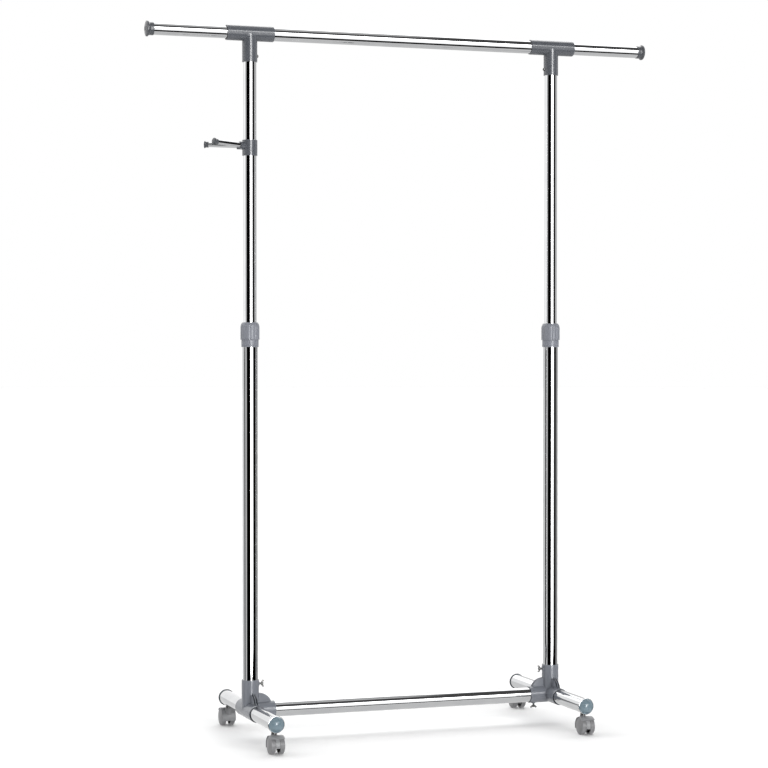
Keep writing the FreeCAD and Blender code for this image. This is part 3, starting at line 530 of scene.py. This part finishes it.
def wing_plate(start):
    """Two rounded wings with a notch between them, standing along Z from start."""
    half, top, lobe = WING_SPAN / 2, start + WING_LENGTH, WING_LOBE
    right = arc((half - lobe, top - lobe), lobe, -90, 90, 10)
    notch = arc((0, top - lobe + 1 * MM), HUB_RADIUS, -20, -160, 8)
    left = arc((lobe - half, top - lobe), lobe, 90, 270, 10)
    bm = bmesh.new()
    verts = [bm.verts.new((x, -WING_THICKNESS / 2, z))
             for x, z in [(-HUB_RADIUS, start), (HUB_RADIUS, start)] + right + notch + left]
    face = bm.faces.new(verts)
    raised = bmesh.ops.extrude_face_region(bm, geom=[face])
    tops = [item for item in raised["geom"] if isinstance(item, bmesh.types.BMVert)]
    bmesh.ops.translate(bm, verts=tops, vec=(0, WING_THICKNESS, 0))
    rims = [e for e in bm.edges if len(e.link_faces) == 2 and e.calc_face_angle() > math.radians(60)
            and abs(e.verts[0].co.y - e.verts[1].co.y) < 1e-9]
    bmesh.ops.bevel(bm, geom=rims, offset=WING_EDGE, offset_type="OFFSET", segments=2, profile=0.5,
                    affect="EDGES", material=-1, clamp_overlap=True)
    clean(bm)
    return bm


def thumb_screw(node, axis_point, way, body):
    """Wing screw, from its tip just off the tube's wall to the top of its wings."""
    low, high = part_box(node)
    along = max(range(3), key=lambda i: abs(way[i]))
    ends = sorted(((c - axis_point).dot(way) for c in (low, high)))
    tip, top = ends
    head = top - WING_LENGTH
    rod = threaded_rod(SCREW_RADIUS, head + HUB_LENGTH / 2 - tip)
    moved(rod, Matrix.Translation((0, 0, tip)))
    hub = turned(softened([(0, head), (HUB_RADIUS, head), (HUB_RADIUS, head + HUB_LENGTH), (0, head + HUB_LENGTH)],
                          0.6 * MM, closed=False), SMALL_STEPS)
    across = Z_AXIS if along == 0 else X_AXIS
    bm = carved(hub, [wing_plate(head), rod], [])
    piece(moved(bm, placed(axis_point, way, across)), node + "_plated", body, "zinc_steel", ZINC, node)


def make_thumb_screws(side):
    inward = -X_AXIS * SIDES[side]
    foot_low, foot_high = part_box("foot_tube_" + side)
    post_low, post_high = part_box("post_screw_" + side)
    rail_low, rail_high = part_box("rail_screw_" + side)
    post_point = Vector(((foot_low.x + foot_high.x) / 2, 0, (post_low.z + post_high.z) / 2))
    rail_point = Vector(((rail_low.x + rail_high.x) / 2, 0, (foot_low.z + foot_high.z) / 2))
    thumb_screw("post_screw_" + side, post_point, inward, "post_screw_" + side)
    thumb_screw("rail_screw_" + side, rail_point, -Z_AXIS, "rail_screw_" + side)


# Castors

HOOD_WALL = 1.4 * MM
HOOD_EDGE_WALL = 0.5 * MM
HOOD_CORNER = 4.0 * MM
HOOD_WEB = 9.0 * MM
HOOD_BOSS_RADIUS = 6.5 * MM
HOOD_HUB_RADIUS = 6.0 * MM
HOOD_STEM_SIDE = math.radians(110)
HOOD_OPEN_SIDE = math.radians(45)
HOOD_SKIRT_SIDE = math.radians(105)
HOOD_SKIRT_INSET = 0.4 * MM
HOOD_STEPS = 40
AXLE_RADIUS = 2.5 * MM
STEM_BORE_RADIUS = 3.05 * MM
PIN_HEADROOM = 0.3 * MM
WHEEL_TREAD = 8.5 * MM
WHEEL_SHOULDER = 2.2 * MM
WHEEL_RIM = 2.6 * MM
WHEEL_HUB_RADIUS = 5.5 * MM
WHEEL_FACE = 4.6 * MM
TREAD_LINE = 0.25 * MM


def hood_section(outline, centre, end, open_side=HOOD_OPEN_SIDE):
    """Solid swept round the axle from a section of (x, radius), from the stem side over to open_side."""
    bm = bmesh.new()
    verts = [bm.verts.new((x, 0, r)) for x, r in outline]
    face = bm.faces.new(verts)
    stem_side = X_AXIS * ENDS[end]
    bmesh.ops.rotate(bm, verts=verts, cent=(0, 0, 0), matrix=Matrix.Rotation(HOOD_STEM_SIDE, 3, stem_side))
    made = bmesh.ops.spin(bm, geom=[face], cent=(0, 0, 0), axis=-stem_side, dvec=(0, 0, 0),
                          angle=HOOD_STEM_SIDE + open_side, steps=HOOD_STEPS, use_merge=False)
    clean(bm)
    return moved(bm, Matrix.Translation(centre))


def castor_hood(corner, end):
    """Mudguard over both wheels, the web between them, and the boss that turns on the stem."""
    node = "castor_hood_" + corner
    low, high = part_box(node)
    axle_low, axle_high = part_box("castor_axle_" + corner)
    stem_low, stem_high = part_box("castor_stem_" + corner)
    centre = (axle_low + axle_high) / 2
    stem = Vector(((stem_low.x + stem_high.x) / 2, (stem_low.y + stem_high.y) / 2, 0))
    half = (high.x - low.x) / 2
    outer = high.z - centre.z
    inner = outer - HOOD_WALL
    edge = inner + HOOD_EDGE_WALL
    bend = math.radians(20)
    corners = [(half - HOOD_CORNER * t, edge + (outer - edge) * math.sin(math.acos(1 - t)))
               for t in (0, 0.08, 0.2, 0.4, 0.7, 1)]
    right = [(half, inner)] + corners
    shell = hood_section(right + [(-x, r) for x, r in reversed(right)], centre, end)
    half_web = HOOD_WEB / 2
    middle = inner + HOOD_WALL / 2
    skirt_radius = centre.z - HOOD_SKIRT_INSET
    near = 0.1 * MM
    web = hood_section([(half_web, near), (half_web, middle), (-half_web, middle), (-half_web, near)], centre, end)
    skirt = hood_section([(half_web, near), (half_web, skirt_radius), (-half_web, skirt_radius), (-half_web, near)],
                         centre, end, HOOD_SKIRT_SIDE)
    hub = bar(HOOD_HUB_RADIUS, centre - X_AXIS * half_web, X_AXIS, HOOD_WEB, 0.3 * MM)
    boss = bar(HOOD_BOSS_RADIUS, Vector((stem.x, stem.y, centre.z)), Z_AXIS, high.z - centre.z, 0.5 * MM)
    space = bar(inner, centre - X_AXIS * half, X_AXIS, 2 * half, 0.01 * MM)
    boss = carved(boss, [], [space])
    bores = [bar(AXLE_RADIUS, centre - X_AXIS * 2 * half_web, X_AXIS, 4 * half_web, 0.01 * MM),
             bar(STEM_BORE_RADIUS, Vector((stem.x, stem.y, stem_low.z - PIN_HEADROOM)), Z_AXIS, high.z, 0.01 * MM)]
    bm = carved(shell, [web, skirt, hub, boss], bores)
    piece(bm, node + "_moulding", "castor_" + corner, "castor_plastic", CASTOR_GREY, node)


def castor_wheel(node, corner, hand):
    """Moulded wheel, hollow on its inner side, with a domed outer face. hand is -1 for the left wheel."""
    low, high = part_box(node)
    outward = X_AXIS * hand
    radius = (high.z - low.z) / 2
    width = high.x - low.x
    inner_x = low.x if hand > 0 else high.x
    centre = Vector((inner_x, (low.y + high.y) / 2, (low.z + high.z) / 2))
    recess = width - WHEEL_FACE
    rim = radius - WHEEL_RIM
    shoulder = [(radius, WHEEL_TREAD)] + arc((radius - WHEEL_SHOULDER, WHEEL_TREAD - 0.7 * MM), WHEEL_SHOULDER, 20, 90, 6)
    face_rim = shoulder[-1]
    bore = AXLE_RADIUS + FIT
    line = [(radius, WHEEL_TREAD * 0.5 - TREAD_LINE), (radius - TREAD_LINE, WHEEL_TREAD * 0.5),
            (radius, WHEEL_TREAD * 0.5 + TREAD_LINE)]
    ring = [(face_rim[0] * 0.80, face_rim[1] + (width - face_rim[1]) * 0.37),
            (face_rim[0] * 0.78, face_rim[1] + (width - face_rim[1]) * 0.30),
            (face_rim[0] * 0.74, face_rim[1] + (width - face_rim[1]) * 0.36)]
    dome = [p for p in crown(face_rim[0], face_rim[1], width - face_rim[1], 14)]
    outline = [(0, recess), (bore, recess), (bore, 0)]
    outline = [(0, recess * 0.9), (bore, recess * 0.9), (bore, 0), (WHEEL_HUB_RADIUS, 0), (WHEEL_HUB_RADIUS, recess),
               (rim - 1 * MM, recess), (rim, recess - 1 * MM), (rim, 0), (radius - 0.6 * MM, 0), (radius, 0.6 * MM)]
    outline += line + shoulder + dome[1:]
    bm = moved(turned(outline), placed(centre, outward))
    piece(bm, node + "_moulding", node, "wheel_plastic", WHEEL_GREY, node)


def castor_stem(corner):
    """Steel pin in the hood, collar above it, and shank up into the foot cap."""
    node = "castor_stem_" + corner
    low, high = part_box(node)
    hood_low, hood_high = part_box("castor_hood_" + corner)
    foot = Vector(((low.x + high.x) / 2, (low.y + high.y) / 2, 0))
    collar_start = hood_high.z + 0.3 * MM
    collar_end = collar_start + 5.0 * MM
    collar, pin, shank = (high.x - low.x) / 2, 3.0 * MM, 3.95 * MM
    corners = [(0, low.z), (pin, low.z), (pin, collar_start), (collar, collar_start), (collar, collar_end),
               (shank, collar_end), (shank, high.z), (0, high.z)]
    bm = moved(turned(softened(corners, 0.4 * MM, closed=False), SMALL_STEPS), Matrix.Translation(foot))
    piece(bm, node + "_plated", "base", "zinc_steel", ZINC, node)


# Height collars

COLLAR_WALL = 2.1 * MM
COLLAR_EDGE = 0.6 * MM
SPIGOT_RADIUS = 16.85 * MM
SPIGOT_HEIGHT = 23.0 * MM
SPIGOT_WALL = 1.6 * MM
NUT_CLEARANCE = 0.5 * MM
NUT_TOP_WALL = 1.8 * MM
NUT_SHOULDER = 27.0 * MM
NUT_THROAT = 5.0 * MM
NUT_TAPER_BOW = 0.7 * MM
FLUTES = 12
FLUTE_RADIUS = 7.0 * MM
FLUTE_DEPTH = 0.9 * MM
GRIP_LINE = 0.35 * MM


def bowed(start, end, bow, steps=8):
    """Points from start to end along an arc that stands out of the chord by bow, on its right-hand side."""
    (x0, z0), (x1, z1) = start, end
    chord = math.dist(start, end)
    normal = ((z1 - z0) / chord, -(x1 - x0) / chord)
    return [(x0 + (x1 - x0) * t + normal[0] * bow * 4 * t * (1 - t), z0 + (z1 - z0) * t + normal[1] * bow * 4 * t * (1 - t))
            for t in (i / steps for i in range(steps + 1))]


def collar_base(side):
    """Ring on the lower post's top, with the spigot that the nut screws on to."""
    node = "collar_base_" + side
    low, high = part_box(node)
    _, post_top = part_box("lower_post_" + side)
    ring = (high.x - low.x) / 2
    bore = ring - COLLAR_WALL
    upper_bore = UPPER_RADIUS + FIT
    spigot_bore = SPIGOT_RADIUS - SPIGOT_WALL
    height = high.z - low.z
    ring_top = height - SPIGOT_HEIGHT
    ledge = post_top.z + FIT - low.z
    corners = [(bore, 0), (ring, 0), (ring, ring_top), (SPIGOT_RADIUS, ring_top), (SPIGOT_RADIUS, height),
               (spigot_bore, height), (spigot_bore, ring_top), (upper_bore, ring_top), (upper_bore, ledge), (bore, ledge)]
    groove = [(ring, 2.6 * MM), (ring - GRIP_LINE, 2.9 * MM), (ring, 3.2 * MM)]
    outline = softened(corners, COLLAR_EDGE)
    first_high = next(i for i, p in enumerate(outline) if p[1] > groove[-1][1])
    outline[first_high:first_high] = groove
    bm = moved(turned(outline), placed(Vector(((low.x + high.x) / 2, 0, low.z)), Z_AXIS))
    piece(bm, node + "_moulding", "base", "collar_plastic", COLLAR_GREY, node)


def collar_nut(side):
    """Fluted nut that tapers in to the upper post."""
    node = "collar_nut_" + side
    low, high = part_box(node)
    bore = SPIGOT_RADIUS + 0.15 * MM
    outer = bore + 3.1 * MM
    height = high.z - low.z
    throat = UPPER_RADIUS + NUT_CLEARANCE
    top = throat + NUT_TOP_WALL
    taper = bowed((outer, NUT_SHOULDER), (top, height), NUT_TAPER_BOW, 10)
    outline = [(bore, 0), (outer - COLLAR_EDGE, 0), (outer, COLLAR_EDGE)]
    outline += [(outer, NUT_SHOULDER * t) for t in (0.25, 0.5, 0.75)]
    outline += taper[:-1] + [(top + 0.0, height - 0.3 * MM), (top - 0.3 * MM, height), (throat, height)]
    outline += [(throat, height - NUT_THROAT), (bore, SPIGOT_HEIGHT + 0.3 * MM)]
    base = Vector(((low.x + high.x) / 2, 0, low.z))
    flutes = []
    for index in range(FLUTES):
        angle = math.tau * (index + 0.5) / FLUTES
        axis = Vector((math.cos(angle), math.sin(angle), 0)) * (outer + FLUTE_RADIUS - FLUTE_DEPTH)
        flutes.append(moved(cylinder(FLUTE_RADIUS, height + 2 * CUT_MARGIN, SMALL_STEPS),
                            Matrix.Translation(base + axis - Z_AXIS * CUT_MARGIN)))
    blank = moved(turned(outline), placed(base, Z_AXIS))
    bm = carved(blank, [], [joined(flutes)])
    piece(bm, node + "_moulding", "collar_nut_" + side, "collar_plastic", COLLAR_GREY, node)


# Tees

TEE_EDGE = 0.7 * MM
TEE_HOLE_RADIUS = 1.8 * MM


def tee_screw_seat(side):
    """Where the tee screw's axis meets the post's axis, and the screw's way out."""
    low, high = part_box("tee_screw_" + side)
    post_low, post_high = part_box("upper_post_" + side)
    return Vector(((post_low.x + post_high.x) / 2, 0, (low.z + high.z) / 2)), -X_AXIS * SIDES[side]


def rail_tee(side):
    node = "rail_tee_" + side
    low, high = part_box(node)
    rail_low, rail_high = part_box("top_rail")
    centre = Vector(((low.x + high.x) / 2, 0, (rail_low.z + rail_high.z) / 2))
    outer = high.z - centre.z
    bore = (rail_high.z - rail_low.z) / 2 + FIT
    start = Vector((low.x, 0, centre.z))
    hole, out = tee_screw_seat(side)
    blank = bar(outer, start, X_AXIS, high.x - low.x, TEE_EDGE)
    down = bar(outer, centre, -Z_AXIS, centre.z - low.z, TEE_EDGE)
    cuts = [cutter(bore, start - X_AXIS * CUT_MARGIN, X_AXIS, high.x - low.x + CUT_MARGIN),
            cutter(bore, centre, -Z_AXIS, centre.z - low.z),
            cutter(TEE_HOLE_RADIUS, hole, out, outer)]
    piece(carved(blank, [down], cuts), node + "_moulding", "upper_frame", "tee_plastic", TEE_GREY, node)


def tee_screw(side):
    """Pan-head screw with a cross recess."""
    node = "tee_screw_" + side
    low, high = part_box(node)
    point, out = tee_screw_seat(side)
    ends = sorted((c - point).dot(out) for c in (low, high))
    head_radius = (high.z - low.z) / 2
    top = ends[1]
    seat_at = top - 3.2 * MM
    rod = moved(threaded_rod(1.75 * MM, seat_at - ends[0] + 1 * MM), Matrix.Translation((0, 0, ends[0])))
    head = turned([(0, seat_at), (head_radius, seat_at), (head_radius, seat_at + 1 * MM)]
                  + crown(head_radius, seat_at + 1 * MM, 2.2 * MM, 10)[1:], SMALL_STEPS)
    slots = []
    for x, y in ((2.3, 0.5), (0.5, 2.3)):
        slot = bmesh.new()
        bmesh.ops.create_cube(slot, size=1.0)
        bmesh.ops.scale(slot, vec=(2 * x * MM, 2 * y * MM, 3.2 * MM), verts=slot.verts)
        bmesh.ops.translate(slot, vec=(0, 0, top), verts=slot.verts)
        slots.append(slot)
    bm = carved(head, [rod], slots)
    piece(moved(bm, placed(point, out)), node + "_plated", "upper_frame", "zinc_steel", ZINC, node)


# Rail caps and prong caps

CAP_EDGE = 0.3 * MM


def flared_cap(bore, wall, collar, flare_length, flare, bow, rim_width, rise, face, dimple=0.0):
    """Outline of a cap that flares from its collar to a rounded rim with a low crown."""
    outer = bore + wall
    rim = outer + flare
    length = collar + flare_length + rim_width
    outline = [(bore, 0), (outer - CAP_EDGE, 0), (outer, CAP_EDGE)]
    outline += bowed((outer, collar), (rim, collar + flare_length), -bow, 10)
    outline += arc((rim - rim_width / 2, length - rim_width / 2), rim_width / 2, 0, 90, 6)
    dome = crown(rim - rim_width / 2, length, rise, 16)[1:]
    if dimple:
        edge = next(p for p in dome if p[0] < dimple)
        dome = [p for p in dome if p[0] > dimple]
        dome += [(dimple, edge[1]), (dimple - 0.4 * MM, edge[1] - 0.8 * MM), (0, edge[1] - 0.8 * MM)]
    return outline + dome + [(0, length - face), (bore, length - face)]


def rail_cap(side):
    node = "rail_cap_" + side
    low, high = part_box(node)
    outward = X_AXIS * SIDES[side]
    ext_low, ext_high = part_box("rail_extension_" + side)
    bore = (ext_high.z - ext_low.z) / 2 + FIT
    axis_z = (low.z + high.z) / 2
    inner_x = min(abs(low.x), abs(high.x)) * SIDES[side]
    rise = high.x - low.x - 15.2 * MM
    outline = flared_cap(bore, 0.95 * MM, 5.4 * MM, 6.6 * MM, 3.0 * MM, 1.17 * MM, 3.2 * MM, rise, 4.0 * MM, 4.5 * MM)
    bm = moved(turned(outline), placed(Vector((inner_x, 0, axis_z)), outward))
    piece(bm, node + "_moulding", "extension_" + side, "cap_plastic", CAP_GREY, node)


# Hook

PRONG_RADIUS = 5.0 * MM
PRONG_EDGE = 0.5 * MM
SOCKET_RADIUS = 7.5 * MM
SOCKET_REACH = 27.0 * MM
PRONG_CAP_OVERLAP = 5.95 * MM


def prong_line(end):
    """Base, direction and length of a prong, from its mount's axis and its node's box."""
    mount = next(m for m in frame["record"]["mounts"] if m["name"] == "hook_prong_" + end)
    way = Vector(mount["axis"]).normalized()
    low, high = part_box("hook_prong_" + end)
    slope = math.sqrt(1 - way.x ** 2)
    length = (high.x - low.x - 2 * PRONG_RADIUS * slope) / abs(way.x)
    return (low + high) / 2 - way * length / 2, way, length


def make_hook():
    low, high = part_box("hook_sleeve")
    post_low, post_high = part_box("upper_post_left")
    post_x = (post_low.x + post_high.x) / 2
    top = Vector((post_x, 0, high.z))
    outer = high.x - post_x
    height = high.z - low.z
    sockets, bores, caps = [], [cutter(UPPER_RADIUS + FIT, top + Z_AXIS * CUT_MARGIN, -Z_AXIS, height + CUT_MARGIN)], []
    cap_outline = flared_cap(PRONG_RADIUS + FIT, 1.0 * MM, 3.4 * MM, 4.1 * MM, 1.7 * MM, 0.68 * MM, 1.5 * MM, 1.2 * MM, 3.0 * MM)
    for end in ENDS:
        base, way, length = prong_line(end)
        root = base + way * ((post_x - base.x) / way.x)
        bm = moved(cylinder(PRONG_RADIUS, length, SMALL_STEPS, PRONG_EDGE), placed(base, way))
        piece(bm, "hook_prong_" + end + "_chrome", "hook", "chromed_tube", CHROME["x"], "hook_prong_" + end)
        sockets.append(bar(SOCKET_RADIUS, root, way, SOCKET_REACH, TEE_EDGE))
        bores.append(cutter(PRONG_RADIUS + FIT, base, way, SOCKET_REACH))
        caps.append(moved(turned(cap_outline, SMALL_STEPS), placed(base + way * (length - PRONG_CAP_OVERLAP), way)))
    sleeve = bar(outer, top, -Z_AXIS, height, TEE_EDGE)
    piece(carved(sleeve, sockets, bores), "hook_sleeve_moulding", "hook", "tee_plastic", TEE_GREY, "hook_sleeve")
    piece(joined(caps), "hook_prong_caps_moulding", "hook", "cap_plastic", CAP_GREY, "hook_prong_caps")


# Inner pieces keep their CAD shape

def finish_inner_pieces():
    for name, node in frame["nodes"].items():
        if name.startswith(("collar_collet", "post_guide", "rail_bush")):
            finish = BUSH_BLACK
        elif name.startswith("castor_axle"):
            finish = ZINC
        else:
            continue
        node.data.materials.clear()
        node.data.materials.append(finish)


UPPER_RADIUS = seat("upper_post_left", Z_AXIS)[2]

make_tubes()
for side in SIDES:
    base_fitting(side)
    make_thumb_screws(side)
    collar_base(side)
    collar_nut(side)
    rail_tee(side)
    tee_screw(side)
    rail_cap(side)
    for end in ENDS:
        corner = end + "_" + side
        foot_cap(corner, side, end)
        castor_stem(corner)
        castor_hood(corner, end)
        for hand_name, hand in SIDES.items():
            castor_wheel("wheel_" + hand_name + "_" + corner, corner, hand)
make_hook()
finish_inner_pieces()


# Camera, light and floor

CAMERA_PLACE = Vector((-1.6406, -4.4933, 0.8245))
CAMERA_TILT = 89.054
CAMERA_TURN = 19.547
CAMERA_LENS = 104.17
SKY_WHITE = 1.8
KEY_WHITE = 16.0
STRIP_WHITE = 10.0
CARD_DEPTH = 0.5


def make_camera():
    data = bpy.data.cameras.new("camera")
    data.lens = CAMERA_LENS
    camera = bpy.data.objects.new("camera", data)
    camera.location = CAMERA_PLACE
    camera.rotation_euler = (math.radians(CAMERA_TILT), 0, math.radians(-CAMERA_TURN))
    bpy.context.scene.collection.objects.link(camera)
    bpy.context.scene.camera = camera


# Brightness round the studio, in degrees, as a share of SKY_WHITE. Angles round the upright axis are
# counted from the front towards the right; angles over the top are counted from the front upwards.
HIGH_SIDES = [(-180, 0.68), (-114, 0.68), (-110, 0.9), (-82, 0.9), (-78, 0.42), (-59, 0.42), (-53, 0),
              (2, 0), (6, 1), (50, 1), (53, 0), (88, 0), (90, 0.42), (180, 0.38)]
LOW_SIDES = [(-180, 0.5), (-96, 0.5), (-94, 0.02), (-74, 0.02), (-72, 0.46), (-51, 0.46), (-45, 0),
             (6, 0), (16, 1), (51, 1), (54, 0), (92, 0), (95, 0.22), (180, 0.22)]
OVERHEAD = [(-180, 0.46), (-18, 0.46), (-14, 1), (37, 1), (41, 0.04), (70, 0.04), (73, 0.38), (102, 0.38),
            (105, 0.1), (111, 0.1), (114, 1.3), (180, 1.3)]
RIGHT_OVERHEAD = [(-180, 0.46), (-18, 0.46), (-14, 1), (32, 1), (36, 0.06), (98, 0.03), (104, 1.3), (180, 1.3)]
KEY_STRIP = [(-180, 0), (14, 0), (17, 1), (30, 1), (32, 0), (180, 0)]
HIGH_STRIP = [(-180, 0), (19, 0), (21, 1), (28, 1), (30, 0), (180, 0)]


class Sky:
    """The studio that surrounds the rack, as the world's own node tree."""

    def __init__(self):
        self.world = bpy.data.worlds.new("studio")
        self.world.use_nodes = True
        self.nodes = self.world.node_tree.nodes
        self.links = self.world.node_tree.links
        bpy.context.scene.world = self.world

    def put(self, socket, value):
        if isinstance(value, (int, float)):
            socket.default_value = value
        else:
            self.links.new(value, socket)

    def math(self, operation, *values):
        node = self.nodes.new("ShaderNodeMath")
        node.operation = operation
        for socket, value in zip(node.inputs, values):
            self.put(socket, value)
        return node.outputs["Value"]

    def along(self, direction, heading):
        node = self.nodes.new("ShaderNodeVectorMath")
        node.operation = "DOT_PRODUCT"
        node.inputs[1].default_value = heading
        self.links.new(direction, node.inputs[0])
        return node.outputs["Value"]

    def bands(self, turn, stops):
        """Brightness from an angle in radians and a list of (degrees, brightness)."""
        share = self.math("MULTIPLY_ADD", turn, 1 / math.tau, 0.5)
        node = self.nodes.new("ShaderNodeValToRGB")
        ramp = node.color_ramp.elements
        while len(ramp) > 1:
            ramp.remove(ramp[-1])
        ramp[0].position = 0.0
        ramp[0].color = (stops[0][1],) * 3 + (1,)
        for degrees, value in stops[1:]:
            ramp.new((degrees + 180) / 360).color = (value,) * 3 + (1,)
        self.links.new(share, node.inputs["Fac"])
        return node.outputs["Color"]

    def blend(self, share, first, second):
        node = self.nodes.new("ShaderNodeMix")
        node.data_type = "FLOAT"
        self.put(node.inputs["Factor"], share)
        self.put(node.inputs["A"], first)
        self.put(node.inputs["B"], second)
        return node.outputs["Result"]

    def fade(self, value, start, end):
        node = self.nodes.new("ShaderNodeMapRange")
        node.interpolation_type = "SMOOTHSTEP"
        node.inputs["From Min"].default_value = start
        node.inputs["From Max"].default_value = end
        self.links.new(value, node.inputs["Value"])
        return node.outputs["Result"]


def make_sky():
    sky = Sky()
    direction = sky.nodes.new("ShaderNodeTexCoord").outputs["Generated"]
    turn = math.radians(CAMERA_TURN)
    towards = sky.along(direction, (-math.sin(turn), -math.cos(turn), 0))
    rightwards = sky.along(direction, (math.cos(turn), -math.sin(turn), 0))
    frontwards = sky.along(direction, (0, -1, 0))
    upwards = sky.along(direction, (0, 0, 1))
    round_angle = sky.math("ARCTAN2", rightwards, towards)
    over_angle = sky.math("ARCTAN2", upwards, frontwards)
    height = sky.math("ABSOLUTE", upwards)
    sides = sky.blend(sky.fade(upwards, 0.003, 0.009), sky.bands(round_angle, LOW_SIDES),
                      sky.bands(round_angle, HIGH_SIDES))
    eastwards = sky.along(direction, (1, 0, 0))
    to_right = sky.fade(eastwards, 0.335, 0.36)
    over = sky.blend(to_right, sky.bands(over_angle, OVERHEAD), sky.bands(over_angle, RIGHT_OVERHEAD))
    dim = sky.math("MULTIPLY", sky.fade(eastwards, 0.75, 0.85), sky.fade(upwards, -0.3, -0.22))
    level = sky.blend(sky.fade(height, 0.30, 0.42), sides, sky.blend(dim, over, 0.02))
    key = sky.math("MULTIPLY", sky.bands(round_angle, KEY_STRIP), sky.math("SUBTRACT", 1.0, sky.fade(height, 0.2, 0.5)))
    aside = sky.math("MULTIPLY", sky.fade(eastwards, 0.18, 0.24), sky.fade(height, 0.26, 0.32))
    aside = sky.math("MULTIPLY", aside, sky.fade(eastwards, 0.52, 0.46))
    bar = sky.math("MULTIPLY", sky.bands(over_angle, HIGH_STRIP), aside)
    lamps = sky.math("MULTIPLY_ADD", bar, STRIP_WHITE, sky.math("MULTIPLY", key, KEY_WHITE))
    seen = sky.math("MULTIPLY_ADD", level, SKY_WHITE, lamps)
    path = sky.nodes.new("ShaderNodeLightPath").outputs
    strength = sky.blend(path["Is Camera Ray"], seen, 1.0)
    background = sky.nodes["Background"]
    background.inputs["Color"].default_value = (1, 1, 1, 1)
    sky.links.new(strength, background.inputs["Strength"])


def floor_finish():
    recipe = Recipe("studio_floor")
    recipe.colour(recipe.ranged(recipe.noise(3.0, 2.0), 0.0, 1.0), (0.96, 0.96, 0.96), (0.94, 0.94, 0.94))
    recipe.roughness(recipe.ranged(recipe.noise(40.0, 2.0), 0.7, 0.8))
    return recipe.material


def make_floor():
    bm = bmesh.new()
    bmesh.ops.create_circle(bm, cap_ends=True, segments=64, radius=40.0)
    floor = to_object(bm, "floor")
    floor.data.materials.append(floor_finish())
    floor.visible_glossy = False


def make_card():
    """Dark card low down in front, which only the shiny pieces see."""
    bm = bmesh.new()
    bmesh.ops.create_grid(bm, x_segments=4, y_segments=4, size=1.0)
    bmesh.ops.scale(bm, vec=(1.9, 1.4, 1), verts=bm.verts)
    bmesh.ops.translate(bm, vec=(0.9, -2.9, -CARD_DEPTH), verts=bm.verts)
    card = to_object(bm, "dark_card")
    card.data.materials.append(CARD_BLACK)
    card.visible_camera = False
    card.visible_diffuse = False
    card.visible_shadow = False


make_camera()
make_sky()
make_floor()
make_card()
bpy.context.scene.view_settings.view_transform = "Standard"
